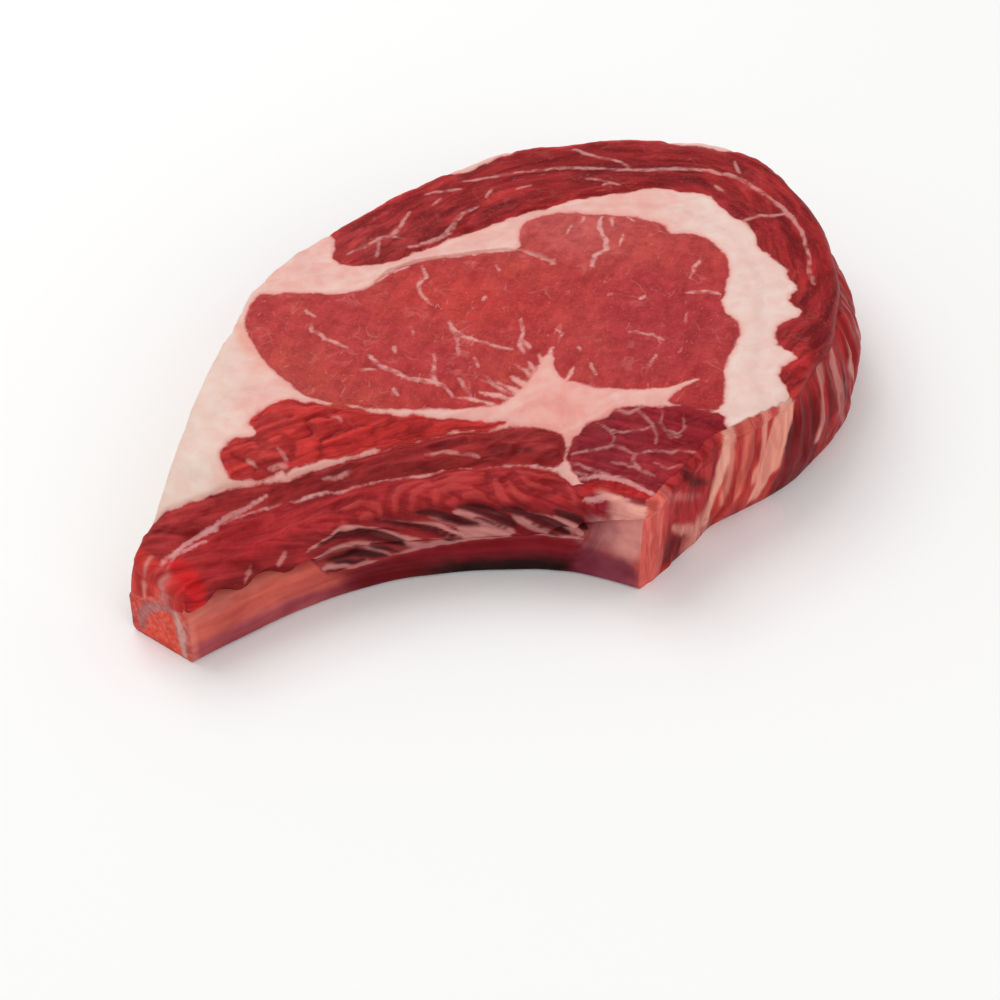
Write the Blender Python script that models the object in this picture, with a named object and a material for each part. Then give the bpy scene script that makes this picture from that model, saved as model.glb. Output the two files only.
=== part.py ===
# Bone-in ribeye steak, raw, lying flat on its cut face.
# X runs along the rib from its sawn tip to the chine, Y from the rib to the cap, Z up.
# The origin is under the middle of the steak, at the level it rests on.
# Sizes are in millimetres and are turned into metres when a mesh is made.

import math

import bmesh
import bpy
import numpy as np

MM = 0.001

# Driving sizes
thickness = 35.0
frontRun = 42.0
rimRadius = 3.0
widestAt = 0.4
seamGap = 0.3
muscleLift = 0.3
swellHeight = 0.5
notchDepth = 3.5
outlineStep = 3.0
ringCount = 132
normalReach = 4
sharpestSpread = 0.3

# Brings the middle of the finished steak over the origin
originShift = (-1.31, -0.22)

# The middle that the rings of the top face close on
topCentre = (0.0, 8.0)

# Share of the wall's height at each ring, from the resting face to the rim
wallRings = [0.0, 0.04, 0.16, 0.32, 0.5, 0.66, 0.82, 1.0]

# Angle of each ring in the rounded rim, in degrees
rimAngles = [30.0, 60.0, 90.0]

# Size of each ring on the top face beside the rim
topRings = [0.965, 0.92, 0.865, 0.8, 0.71, 0.6, 0.47, 0.32, 0.16]

# Outer wall where it is widest, counterclockwise from the sawn tip of the rib.
# Each row is x, y, how far the rim stands inside it, how far the foot does.
wallRows = [
    (-93.4, -76.8, 2.0, 0.0),
    (-87.8, -83.2, 2.5, 0.0),
    (-78.2, -89.2, 2.0, 0.5),
    (-70.5, -83.5, 1.5, 0.5),
    (-57.0, -73.5, 1.0, 0.5),
    (-44.0, -66.0, 0.5, 0.5),
    (-28.0, -59.5, 0.0, 0.5),
    (-9.0, -56.5, -0.5, 0.5),
    (10.0, -56.0, -1.5, 0.5),
    (22.0, -58.0, -2.0, 0.5),
    (34.0, -62.5, -1.0, 1.0),
    (42.0, -55.0, 0.0, 1.0),
    (49.0, -46.5, 0.0, 1.0),
    (54.0, -41.0, 0.5, 2.0),
    (63.0, -35.8, 0.5, 3.0),
    (71.0, -30.0, 1.5, 3.0),
    (78.0, -23.0, 3.0, 2.5),
    (84.0, -15.0, 5.0, 2.5),
    (90.0, -5.5, 6.0, 2.0),
    (94.0, 6.0, 7.0, 2.0),
    (97.0, 20.0, 7.5, 2.5),
    (96.5, 34.0, 7.5, 2.5),
    (93.0, 49.0, 6.0, 2.5),
    (86.5, 64.0, 5.0, 2.0),
    (77.0, 78.0, 4.5, 2.0),
    (64.0, 87.0, 3.5, 2.0),
    (48.0, 90.0, 2.5, 2.0),
    (30.0, 90.0, 2.5, 2.0),
    (12.0, 86.0, 2.5, 2.0),
    (-4.0, 82.0, 2.5, 2.0),
    (-18.0, 73.5, 2.5, 2.0),
    (-33.0, 61.0, 2.5, 2.0),
    (-47.0, 47.5, 2.5, 2.0),
    (-60.0, 34.5, 2.5, 2.5),
    (-69.0, 19.5, 2.5, 3.0),
    (-74.5, 3.0, 2.5, 3.0),
    (-79.0, -13.0, 3.0, 3.0),
    (-83.0, -29.0, 3.0, 3.0),
    (-86.5, -44.0, 3.0, 3.0),
    (-89.5, -58.0, 3.5, 3.0),
    (-92.0, -69.0, 3.0, 1.5),
]

# Front edge of the top face: x, y and the height of the face there
frontRows = [
    (-80.0, -88.0, 23.0),
    (-60.0, -80.0, 21.0),
    (-35.0, -66.0, 24.0),
    (-5.0, -57.0, 24.0),
    (20.0, -58.0, 26.0),
    (35.0, -62.0, 29.0),
    (60.0, -50.0, 33.0),
]

# Front wall above the rib, set back under the top face: from x to x
notchEnds = [(-54.0, -40.0), (10.0, 20.0)]

# Rib: x and y of its front foot, front height, back height, depth, turn of the section
boneRows = [
    (-78.0, -89.6, 19.0, 15.0, 20.5, 16.0),
    (-70.5, -83.9, 16.5, 15.5, 18.0, 0.0),
    (-57.0, -74.0, 15.0, 15.0, 16.5, 0.0),
    (-44.0, -66.5, 13.5, 13.5, 15.0, 0.0),
    (-28.0, -60.0, 12.0, 12.5, 14.0, 0.0),
    (-9.0, -57.0, 11.0, 12.5, 14.0, 0.0),
    (7.0, -56.4, 12.0, 13.0, 14.0, 0.0),
    (17.0, -57.5, 16.5, 15.0, 14.0, -4.0),
    (26.0, -60.5, 23.0, 18.0, 13.5, -12.0),
    (33.6, -63.6, 27.0, 21.0, 13.0, -22.0),
]
boneCorner = 4.0
boneFoot = 1.5
boneGap = 0.7
boneSteps = 4
cornerSteps = 4

# Muscles seen from above, each with the colour of its cut face.
# Past the wall an outline runs free, where the wall cuts it off.
eyeOutline = [
    (-67.5, 11.5), (-68.7, 4.0), (-67.8, -3.0), (-65.3, -9.0), (-61.8, -15.0), (-57.5, -22.0),
    (-51.5, -27.3), (-45.0, -29.8), (-36.0, -30.9), (-24.0, -30.0), (-10.0, -29.0), (-3.0, -28.0),
    (1.0, -25.0), (4.5, -21.5), (7.0, -16.5), (9.5, -11.0), (11.5, -15.0), (14.0, -20.0),
    (20.0, -22.2), (30.0, -24.0), (39.0, -23.0), (45.0, -22.2), (45.2, -24.8), (44.5, -27.5),
    (49.0, -29.6), (53.6, -30.2), (55.0, -25.0), (55.2, -19.0), (57.0, -12.0), (60.2, -3.0),
    (60.0, 2.5), (57.5, 7.0), (56.7, 11.5), (58.3, 18.0), (59.6, 29.0), (56.5, 37.0),
    (50.5, 41.5), (44.8, 41.8), (42.6, 45.6), (36.0, 48.5), (25.0, 50.8), (14.0, 51.3),
    (6.5, 48.2), (3.2, 43.0), (2.8, 36.5), (1.0, 33.2), (-8.0, 32.4), (-19.0, 30.8),
    (-28.0, 28.0), (-34.0, 23.5), (-39.0, 17.6), (-46.0, 15.2), (-57.0, 15.0), (-64.5, 14.5),
]
capOutline = [
    (-46.5, 28.5), (-42.0, 27.6), (-36.0, 28.4), (-27.0, 32.8), (-16.0, 40.3), (-4.0, 46.5),
    (8.0, 53.0), (20.0, 58.5), (34.0, 61.5), (41.0, 64.2), (48.0, 63.0), (55.0, 61.0),
    (60.0, 54.5), (62.5, 49.5), (66.0, 46.5), (69.0, 37.0), (73.5, 30.0), (76.0, 25.5),
    (76.6, 21.5), (78.3, 18.6), (76.4, 14.0), (76.4, 10.5), (78.2, 7.8), (76.6, 4.4),
    (72.8, 1.6), (70.6, -3.5), (71.2, -7.2), (75.0, -10.5), (72.6, -14.6), (70.4, -18.5),
    (72.5, -23.5), (80.0, -33.0), (112.0, -12.0), (112.0, 60.0), (88.0, 96.0), (50.0, 106.0),
    (0.0, 100.0), (-38.0, 78.0), (-58.0, 50.0), (-49.3, 41.0), (-48.3, 34.0),
]
tailOutline = [
    (-56.0, -30.4), (-50.0, -31.6), (-44.0, -33.0), (-36.0, -33.7), (-24.0, -33.4), (-10.0, -33.6),
    (-4.5, -34.1), (-9.0, -35.3), (-16.0, -36.8), (-24.0, -39.0), (-38.0, -44.5), (-52.0, -50.8),
    (-62.0, -55.0), (-67.5, -56.4), (-70.8, -54.5), (-70.8, -50.0), (-69.0, -46.0), (-64.8, -43.0),
    (-65.0, -39.0), (-64.0, -35.8), (-60.0, -33.2),
]
upperBandOutline = [
    (-102.0, -71.0), (-89.0, -68.5), (-78.0, -63.8), (-66.0, -58.5), (-52.0, -53.4), (-38.0, -46.8),
    (-22.0, -41.1), (-6.0, -37.1), (6.0, -36.0), (12.2, -37.3), (13.8, -40.5), (12.6, -44.6),
    (8.0, -45.1), (2.0, -43.9), (-10.0, -44.8), (-24.0, -48.5), (-36.0, -51.8), (-49.0, -56.4),
    (-63.0, -62.0), (-75.0, -68.8), (-82.0, -74.8), (-86.6, -80.0), (-95.0, -91.0), (-110.0, -84.0),
]
lowerBandOutline = [
    (-84.9, -81.6), (-80.5, -76.3), (-74.0, -70.7), (-62.0, -63.9), (-48.5, -58.4), (-35.5, -53.8),
    (-23.5, -50.5), (-10.0, -46.8), (1.5, -45.9), (7.6, -47.1), (12.0, -48.6), (15.4, -52.0),
    (17.6, -56.5), (18.6, -61.0), (18.6, -76.0), (-36.0, -92.0), (-70.0, -112.0), (-92.0, -92.0),
]
chineOutline = [
    (16.3, -40.5), (18.0, -37.2), (24.0, -33.0), (30.0, -31.4), (36.0, -32.0), (43.0, -31.2),
    (50.0, -32.3), (54.4, -33.4), (55.0, -37.5), (54.6, -41.5), (57.0, -48.0), (52.0, -64.0),
    (40.0, -78.0), (22.0, -78.0), (21.0, -61.0), (20.0, -56.0), (17.9, -51.0), (15.6, -46.5),
]

muscles = [
    ("ribeye_muscle", eyeOutline, (0.42, 0.055, 0.05)),
    ("cap_muscle", capOutline, (0.33, 0.022, 0.022)),
    ("tail_muscle", tailOutline, (0.34, 0.026, 0.024)),
    ("upper_intercostal_muscle", upperBandOutline, (0.22, 0.013, 0.016)),
    ("lower_intercostal_muscle", lowerBandOutline, (0.27, 0.02, 0.02)),
    ("chine_muscle", chineOutline, (0.25, 0.018, 0.022)),
]
fatColour = (0.83, 0.58, 0.5)
boneColour = (0.62, 0.3, 0.26)
meatRoughness = 0.38
fatRoughness = 0.45
boneRoughness = 0.5

# Cutters run past the steak by this much below, above and in front
cutterBelow = 5.0
cutterAbove = 20.0
cutterFront = 3.5


def ease(value):
    value = np.clip(value, 0.0, 1.0)
    return value * value * (3.0 - 2.0 * value)


def topHeight(x, y):
    # The top face is level over the meat and falls towards the rib
    rows = np.array(frontRows)
    edgeY = np.interp(x, rows[:, 0], rows[:, 1])
    edgeZ = np.interp(x, rows[:, 0], rows[:, 2])
    rise = ease((y - edgeY) / frontRun)
    swell = swellHeight * np.sin(x / 24.0 + 0.6) * np.sin(y / 21.0 + 0.4)
    return edgeZ + (thickness - edgeZ) * rise + swell * rise


def smoothLoop(rows, count):
    # Closed curve through the rows, read at even distances
    rows = np.array(rows, float)
    before = np.roll(rows, 1, axis=0)
    after = np.roll(rows, -1, axis=0)
    beyond = np.roll(rows, -2, axis=0)
    fine = []
    for share in np.arange(12) / 12.0:
        square = share * share
        cube = square * share
        fine.append(0.5 * (2.0 * rows + (after - before) * share
                           + (2.0 * before - 5.0 * rows + 4.0 * after - beyond) * square
                           + (3.0 * rows - before - 3.0 * after + beyond) * cube))
    fine = np.stack(fine, axis=1).reshape(-1, rows.shape[1])
    fine = np.vstack([fine, fine[:1]])
    steps = np.hypot(*(fine[1:, :2] - fine[:-1, :2]).T)
    along = np.concatenate([[0.0], np.cumsum(steps)])
    wanted = np.arange(count) * along[-1] / count
    return np.stack([np.interp(wanted, along, fine[:, k]) for k in range(rows.shape[1])], axis=1)


def outwardNormals(loop, reach=1):
    # Plan normals of a counterclockwise loop, evened out over the reach
    chord = np.zeros((len(loop), 2))
    for k in range(1, reach + 1):
        chord += np.roll(loop[:, :2], -k, axis=0) - np.roll(loop[:, :2], k, axis=0)
    chord /= np.hypot(chord[:, 0], chord[:, 1])[:, None]
    return np.stack([chord[:, 1], -chord[:, 0]], axis=1)


def grownLoop(loop, gap):
    # Every side of a counterclockwise loop moved outward by the gap
    side = np.roll(loop, -1, axis=0) - loop
    side /= np.hypot(side[:, 0], side[:, 1])[:, None]
    ahead = np.stack([side[:, 1], -side[:, 0]], axis=1)
    behind = np.roll(ahead, 1, axis=0)
    spread = 1.0 + np.sum(ahead * behind, axis=1)
    return loop + (ahead + behind) * gap / np.maximum(spread, sharpestSpread)[:, None]


def isCounterclockwise(loop):
    ahead = np.roll(loop, -1, axis=0)
    return np.sum(loop[:, 0] * ahead[:, 1] - ahead[:, 0] * loop[:, 1]) > 0.0


def inMetres(point):
    x, y, z = point
    return ((x + originShift[0]) * MM, (y + originShift[1]) * MM, z * MM)


def meshFromRings(name, rings, topPoint=None):
    # Skin over closed rings, with a flat cap below and a cap or a point above
    mesh = bpy.data.meshes.new(name)
    bm = bmesh.new()
    count = len(rings[0])
    layers = [[bm.verts.new(inMetres(point)) for point in ring] for ring in rings]
    for lower, upper in zip(layers[:-1], layers[1:]):
        for k in range(count):
            after = (k + 1) % count
            bm.faces.new([lower[k], lower[after], upper[after], upper[k]])
    bm.faces.new(list(reversed(layers[0])))
    if topPoint is None:
        bm.faces.new(layers[-1])
    else:
        peak = bm.verts.new(inMetres(topPoint))
        for k in range(count):
            bm.faces.new([layers[-1][k], layers[-1][(k + 1) % count], peak])
    bmesh.ops.recalc_face_normals(bm, faces=bm.faces[:])
    bm.to_mesh(mesh)
    bm.free()
    return mesh


def makeMaterial(name, colour, roughness):
    material = bpy.data.materials.new(name)
    material.use_nodes = True
    shader = material.node_tree.nodes["Principled BSDF"]
    shader.inputs["Base Color"].default_value = (*colour, 1.0)
    shader.inputs["Roughness"].default_value = roughness
    shader.inputs["Metallic"].default_value = 0.0
    return material


def addObject(name, mesh, material=None):
    thing = bpy.data.objects.new(name, mesh)
    bpy.context.scene.collection.objects.link(thing)
    if material is not None:
        mesh.materials.append(material)
    return thing


def asCutter(thing):
    thing.hide_render = True
    thing.display_type = "WIRE"
    return thing


def addBoolean(thing, cutter, operation):
    modifier = thing.modifiers.new(cutter.name, "BOOLEAN")
    modifier.operation = operation
    modifier.solver = "EXACT"
    modifier.object = cutter


def notchAt(x, y, share):
    # Depth by which the wall above the rib stands back
    (leftStart, leftEnd), (rightStart, rightEnd) = notchEnds
    across = ease((x - leftStart) / (leftEnd - leftStart)) * ease((rightEnd - x) / (rightEnd - rightStart))
    across = across * (y < -40.0)
    upward = np.sin(math.pi * np.clip((share - 0.46) / 0.5, 0.0, 1.0)) ** 2
    return notchDepth * across * upward


def steakMesh(name, lift):
    # Wall, rounded rim and top face of the whole steak, bone included
    loop = smoothLoop(wallRows, ringCount)
    outward = outwardNormals(loop, normalReach)
    rimPlan = loop[:, :2] - outward * loop[:, 2:3]
    rimZ = topHeight(rimPlan[:, 0], rimPlan[:, 1]) + lift - rimRadius
    rings = []
    for share in wallRings:
        belowWide = np.clip(1.0 - share / widestAt, 0.0, 1.0) ** 2
        aboveWide = np.clip((share - widestAt) / (1.0 - widestAt), 0.0, 1.0) ** 2
        inset = loop[:, 3] * belowWide + loop[:, 2] * aboveWide
        inset = inset + notchAt(loop[:, 0], loop[:, 1], share)
        plan = loop[:, :2] - outward * inset[:, None]
        rings.append(np.column_stack([plan, rimZ * share]))
    for angle in rimAngles:
        turn = math.radians(angle)
        plan = rimPlan - outward * rimRadius * (1.0 - math.cos(turn))
        level = topHeight(plan[:, 0], plan[:, 1]) + lift
        rings.append(np.column_stack([plan, level - rimRadius * (1.0 - math.sin(turn))]))
    inner = rings[-1][:, :2]
    centre = np.array(topCentre)
    for size in topRings:
        plan = centre + (inner - centre) * size
        rings.append(np.column_stack([plan, topHeight(plan[:, 0], plan[:, 1]) + lift]))
    peak = (*topCentre, float(topHeight(*topCentre)) + lift)
    return meshFromRings(name, rings, peak)


def prismMesh(name, outline, grow):
    # Upright cutter with a muscle's outline
    length = np.sum(np.hypot(*(np.roll(outline, -1, axis=0) - np.array(outline)).T))
    loop = smoothLoop(outline, int(length / outlineStep))
    if not isCounterclockwise(loop):
        loop = loop[::-1]
    loop = grownLoop(loop, grow)
    low = np.column_stack([loop, np.full(len(loop), -cutterBelow)])
    high = np.column_stack([loop, np.full(len(loop), thickness + cutterAbove)])
    return meshFromRings(name, [low, high])


def boneSection(front, back, depth, gap, pastFront, pastFoot):
    # Upright section of the rib as (distance behind the front, height), round at the corners
    slope = (back - front) / (depth - 2.0 * boneCorner)
    corners = [
        (boneFoot - pastFront, boneFoot - pastFoot, boneFoot, 180.0),
        (depth - boneFoot, boneFoot - pastFoot, boneFoot, 270.0),
        (depth - boneCorner, back - boneCorner, boneCorner, 0.0),
        (boneCorner - pastFront, front - boneCorner - slope * pastFront, boneCorner, 90.0),
    ]
    points = []
    for across, height, radius, start in corners:
        for k in range(cornerSteps):
            angle = math.radians(start + 90.0 * k / (cornerSteps - 1))
            points.append((across + (radius + gap) * math.cos(angle), height + (radius + gap) * math.sin(angle)))
    return points


def boneMesh(name, cutter):
    # Sections set along the front foot of the steak; the cutter is larger all round
    room = (boneGap, cutterFront, cutterBelow) if cutter else (0.0, 0.0, 0.0)
    rows = np.array(boneRows)
    fineRows = []
    for k in range(len(rows) - 1):
        for share in np.arange(boneSteps) / boneSteps:
            fineRows.append(rows[k] + (rows[k + 1] - rows[k]) * share)
    fineRows.append(rows[-1])
    fine = np.array(fineRows)
    tangent = np.gradient(fine[:, :2], axis=0)
    rings = []
    for row, along in zip(fine, tangent):
        x, y, front, back, depth, turn = row
        angle = math.atan2(along[1], along[0]) + math.radians(90.0 + turn)
        backX, backY = math.cos(angle), math.sin(angle)
        section = boneSection(front, back, depth, *room)
        rings.append([(x + backX * d, y + backY * d, z) for d, z in section])
    rings = np.array(rings)
    if cutter:
        tipStep = rings[0] - rings[1]
        headStep = rings[-1] - rings[-2]
        rings = np.concatenate([[rings[0] + tipStep * 2.0], rings, [rings[-1] + headStep * 2.0]])
    return meshFromRings(name, list(rings))


def clearScene():
    for thing in list(bpy.data.objects):
        bpy.data.objects.remove(thing, do_unlink=True)


def main():
    clearScene()

    # Rib bone, and the room it takes in the meat
    bone = addObject("rib_bone", boneMesh("rib_bone", False), makeMaterial("bone", boneColour, boneRoughness))
    bone.data.shade_smooth()
    boneCutter = asCutter(addObject("boneCutter", boneMesh("boneCutter", True)))

    # One connected web of fat, open where the muscles stand in it
    fat = addObject("fat", steakMesh("fat", 0.0), makeMaterial("fat", fatColour, fatRoughness))

    for name, outline, colour in muscles:
        muscle = addObject(name, steakMesh(name, muscleLift), makeMaterial(name, colour, meatRoughness))
        inside = asCutter(addObject(name + "Shape", prismMesh(name + "Shape", outline, 0.0)))
        around = asCutter(addObject(name + "Room", prismMesh(name + "Room", outline, seamGap)))
        addBoolean(muscle, inside, "INTERSECT")
        addBoolean(muscle, boneCutter, "DIFFERENCE")
        addBoolean(fat, around, "DIFFERENCE")
    addBoolean(fat, boneCutter, "DIFFERENCE")


main()
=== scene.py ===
import math

import bmesh
import bpy
import numpy as np
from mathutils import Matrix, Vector


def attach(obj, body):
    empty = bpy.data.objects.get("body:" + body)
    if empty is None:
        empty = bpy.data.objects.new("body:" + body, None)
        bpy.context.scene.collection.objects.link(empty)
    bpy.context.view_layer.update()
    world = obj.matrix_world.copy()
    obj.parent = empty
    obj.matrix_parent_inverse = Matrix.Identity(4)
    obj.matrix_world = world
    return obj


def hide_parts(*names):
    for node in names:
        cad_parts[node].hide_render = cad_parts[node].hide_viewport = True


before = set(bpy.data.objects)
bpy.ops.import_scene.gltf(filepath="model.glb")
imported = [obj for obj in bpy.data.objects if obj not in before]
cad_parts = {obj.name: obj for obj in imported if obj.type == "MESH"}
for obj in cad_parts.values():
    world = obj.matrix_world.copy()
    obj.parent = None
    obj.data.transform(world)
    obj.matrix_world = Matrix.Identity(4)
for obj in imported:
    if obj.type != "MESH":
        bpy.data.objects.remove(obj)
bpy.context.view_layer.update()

columns = np.column_stack
mm = 0.001
far = -20.0  # depth in a stroke that is nowhere near, in mm
shift = np.array([-1.31, -0.22])  # the plan below is drawn about the rib, the frame about the box's middle

# Plan of the steak in mm, as in the solids: x, y, rim inside, foot inside, height of the rib there
wallRows = [
    (-93.9, -77.4, 2.0, 0.0, 11.5), (-87.4, -83.0, 1.0, 0.0, 14.5), (-78.4, -89.9, 1.6, 0.5, 16.6),
    (-70.5, -83.5, 1.5, 0.5, 16.5), (-57.0, -73.5, 1.0, 0.5, 15.5), (-44.0, -66.0, 0.5, 0.5, 13.5),
    (-28.0, -59.5, 0.0, 0.5, 11.5), (-9.0, -56.5, -0.5, 0.5, 10.5), (10.0, -56.0, -1.5, 0.5, 11.5),
    (22.0, -58.0, -0.8, 0.5, 19.0), (34.0, -62.9, -0.4, 1.0, 25.0), (42.0, -55.0, 0.0, 1.0, 19.0),
    (49.0, -46.5, 0.0, 1.0, 0.0), (54.0, -41.0, 0.5, 2.0, 0.0), (63.0, -35.8, 0.5, 3.0, 0.0),
    (71.0, -30.0, 1.5, 3.0, 0.0), (78.0, -23.0, 3.0, 2.5, 0.0), (84.0, -15.0, 5.0, 2.5, 0.0),
    (90.0, -5.5, 6.0, 2.0, 0.0), (94.0, 6.0, 7.0, 2.0, 0.0), (97.0, 20.0, 7.5, 2.5, 0.0),
    (96.5, 34.0, 7.5, 2.5, 0.0), (93.0, 49.0, 6.0, 2.5, 0.0), (86.5, 64.0, 5.0, 2.0, 0.0),
    (77.0, 78.0, 3.6, 2.0, 0.0), (64.0, 87.0, 1.4, 2.0, 0.0), (48.0, 90.0, 0.6, 2.0, 0.0),
    (30.0, 90.0, 0.4, 2.0, 0.0), (12.0, 86.0, 0.4, 2.0, 0.0), (-4.0, 82.0, 0.8, 2.0, 0.0),
    (-18.0, 73.5, 1.0, 2.0, 0.0), (-33.0, 61.0, 0.8, 2.0, 0.0), (-47.0, 47.5, 0.4, 2.0, 0.0),
    (-60.0, 34.5, 0.0, 2.5, 0.0), (-69.0, 19.5, 0.0, 3.0, 0.0), (-74.5, 3.0, 0.3, 3.0, 0.0),
    (-79.0, -13.0, 1.2, 3.0, 0.0), (-83.0, -29.0, 1.8, 3.0, 0.0), (-86.5, -44.0, 3.0, 3.0, 0.0),
    (-89.5, -58.0, 3.5, 3.0, 0.0), (-92.0, -69.0, 3.0, 1.5, 4.0),
]
frontRows = [(-80.0, -88.0, 23.0), (-60.0, -80.0, 21.0), (-35.0, -66.0, 24.0), (-5.0, -57.0, 24.0),
             (20.0, -58.0, 26.0), (35.0, -62.0, 29.0), (60.0, -50.0, 33.0)]  # x, y, height of the front edge

muscles = {
    "eye": dict(tint=(0.45, 0.038, 0.038), marbling=0.8, strands=0.2, lumps=0.0, grain=70.0, outline=[
        (-68.5, 12.0), (-70.2, 4.0), (-69.3, -3.0), (-66.3, -9.0), (-62.8, -15.0), (-58.5, -22.0),
        (-51.5, -28.2), (-45.0, -31.0), (-36.0, -32.2), (-24.0, -31.0), (-10.0, -29.6), (-3.0, -28.0),
        (1.0, -25.0), (4.5, -21.5), (7.0, -16.5), (9.8, -10.0), (11.5, -15.0), (14.0, -20.0),
        (20.0, -22.2), (30.0, -24.4), (39.0, -23.6), (45.0, -22.0), (42.5, -26.0), (41.0, -28.6),
        (46.0, -30.4), (53.6, -31.2), (55.2, -25.0), (55.2, -19.0), (57.0, -12.0), (60.4, -3.0),
        (60.2, 2.5), (57.5, 7.0), (56.5, 11.5), (58.3, 18.0), (59.8, 29.0), (56.5, 37.0),
        (50.5, 41.8), (44.6, 41.6), (42.6, 46.0), (36.0, 48.8), (25.0, 50.8), (14.0, 51.3),
        (6.5, 48.2), (3.0, 43.0), (2.8, 36.5), (0.6, 33.2), (-8.0, 32.2), (-19.0, 30.4),
        (-28.0, 27.6), (-34.0, 23.0), (-39.0, 17.4), (-46.0, 15.2), (-57.0, 15.0), (-65.0, 14.8)]),
    "cap": dict(tint=(0.3, 0.012, 0.015), marbling=0.3, strands=0.85, lumps=0.5, grain=20.0, outline=[
        (-46.5, 28.5), (-42.0, 27.6), (-36.0, 28.4), (-27.0, 32.8), (-16.0, 40.3), (-4.0, 46.5),
        (8.0, 53.0), (20.0, 58.5), (34.0, 61.5), (41.0, 64.4), (48.0, 62.8), (55.0, 61.6),
        (60.0, 54.5), (62.5, 49.3), (66.0, 46.5), (69.0, 37.0), (73.5, 30.0), (76.0, 25.5),
        (76.6, 21.5), (78.8, 18.6), (76.0, 14.0), (76.2, 10.5), (78.6, 7.8), (76.8, 4.2),
        (72.8, 2.0), (70.2, -3.5), (70.8, -7.4), (75.8, -10.5), (72.8, -14.6), (70.2, -18.5),
        (72.5, -23.5), (80.0, -33.0), (112.0, -12.0), (112.0, 60.0), (88.0, 96.0), (50.0, 106.0),
        (0.0, 100.0), (-38.0, 78.0), (-58.0, 50.0), (-49.3, 41.0), (-48.3, 34.0)]),
    "tail": dict(tint=(0.5, 0.024, 0.023), marbling=0.15, strands=0.9, lumps=1.0, grain=25.0, outline=[
        (-57.0, -30.0), (-50.0, -31.0), (-44.0, -32.2), (-36.0, -33.4), (-24.0, -33.2), (-10.0, -33.6),
        (-1.0, -33.9), (-8.0, -35.2), (-16.0, -37.1), (-24.0, -39.4), (-38.0, -44.5), (-52.0, -50.8),
        (-62.0, -55.0), (-68.5, -57.0), (-71.6, -54.5), (-71.4, -50.0), (-69.4, -46.0), (-64.4, -43.4),
        (-65.6, -39.0), (-65.0, -35.8), (-61.0, -32.6)]),
    "upperBand": dict(tint=(0.32, 0.019, 0.021), marbling=0.05, strands=1.0, lumps=0.9, grain=28.0, outline=[
        (-102.0, -70.0), (-89.0, -67.6), (-78.0, -63.0), (-66.0, -57.9), (-52.0, -53.0), (-38.0, -46.3),
        (-22.0, -40.1), (-6.0, -36.2), (6.0, -34.9), (12.6, -37.0), (14.2, -40.5), (13.0, -44.8),
        (8.0, -45.3), (2.0, -44.3), (-10.0, -45.2), (-24.0, -48.9), (-36.0, -52.0), (-49.0, -56.4),
        (-63.0, -62.3), (-75.0, -69.0), (-82.0, -75.0), (-86.8, -80.2), (-95.0, -91.0), (-110.0, -84.0)]),
    "lowerBand": dict(tint=(0.4, 0.02, 0.024), marbling=0.05, strands=0.8, lumps=1.0, grain=30.0, outline=[
        (-84.9, -81.4), (-80.5, -76.1), (-74.0, -70.4), (-62.0, -63.6), (-48.5, -58.1), (-35.5, -53.5),
        (-23.5, -50.2), (-10.0, -46.6), (1.5, -45.7), (7.6, -46.9), (12.0, -48.4), (15.6, -52.0),
        (17.8, -56.5), (18.8, -61.0), (18.8, -76.0), (-36.0, -92.0), (-70.0, -112.0), (-92.0, -92.0)]),
    "chine": dict(tint=(0.26, 0.008, 0.017), marbling=0.1, strands=0.7, lumps=0.8, grain=-20.0, outline=[
        (16.0, -40.5), (18.0, -37.0), (24.0, -32.8), (30.0, -30.8), (36.0, -31.4), (43.0, -30.4),
        (50.0, -32.0), (54.8, -33.0), (55.6, -37.5), (54.8, -41.5), (57.0, -48.0), (52.0, -64.0),
        (40.0, -78.0), (22.0, -78.0), (20.6, -61.0), (19.6, -56.0), (17.5, -51.0), (15.2, -46.5)]),
}

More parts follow.
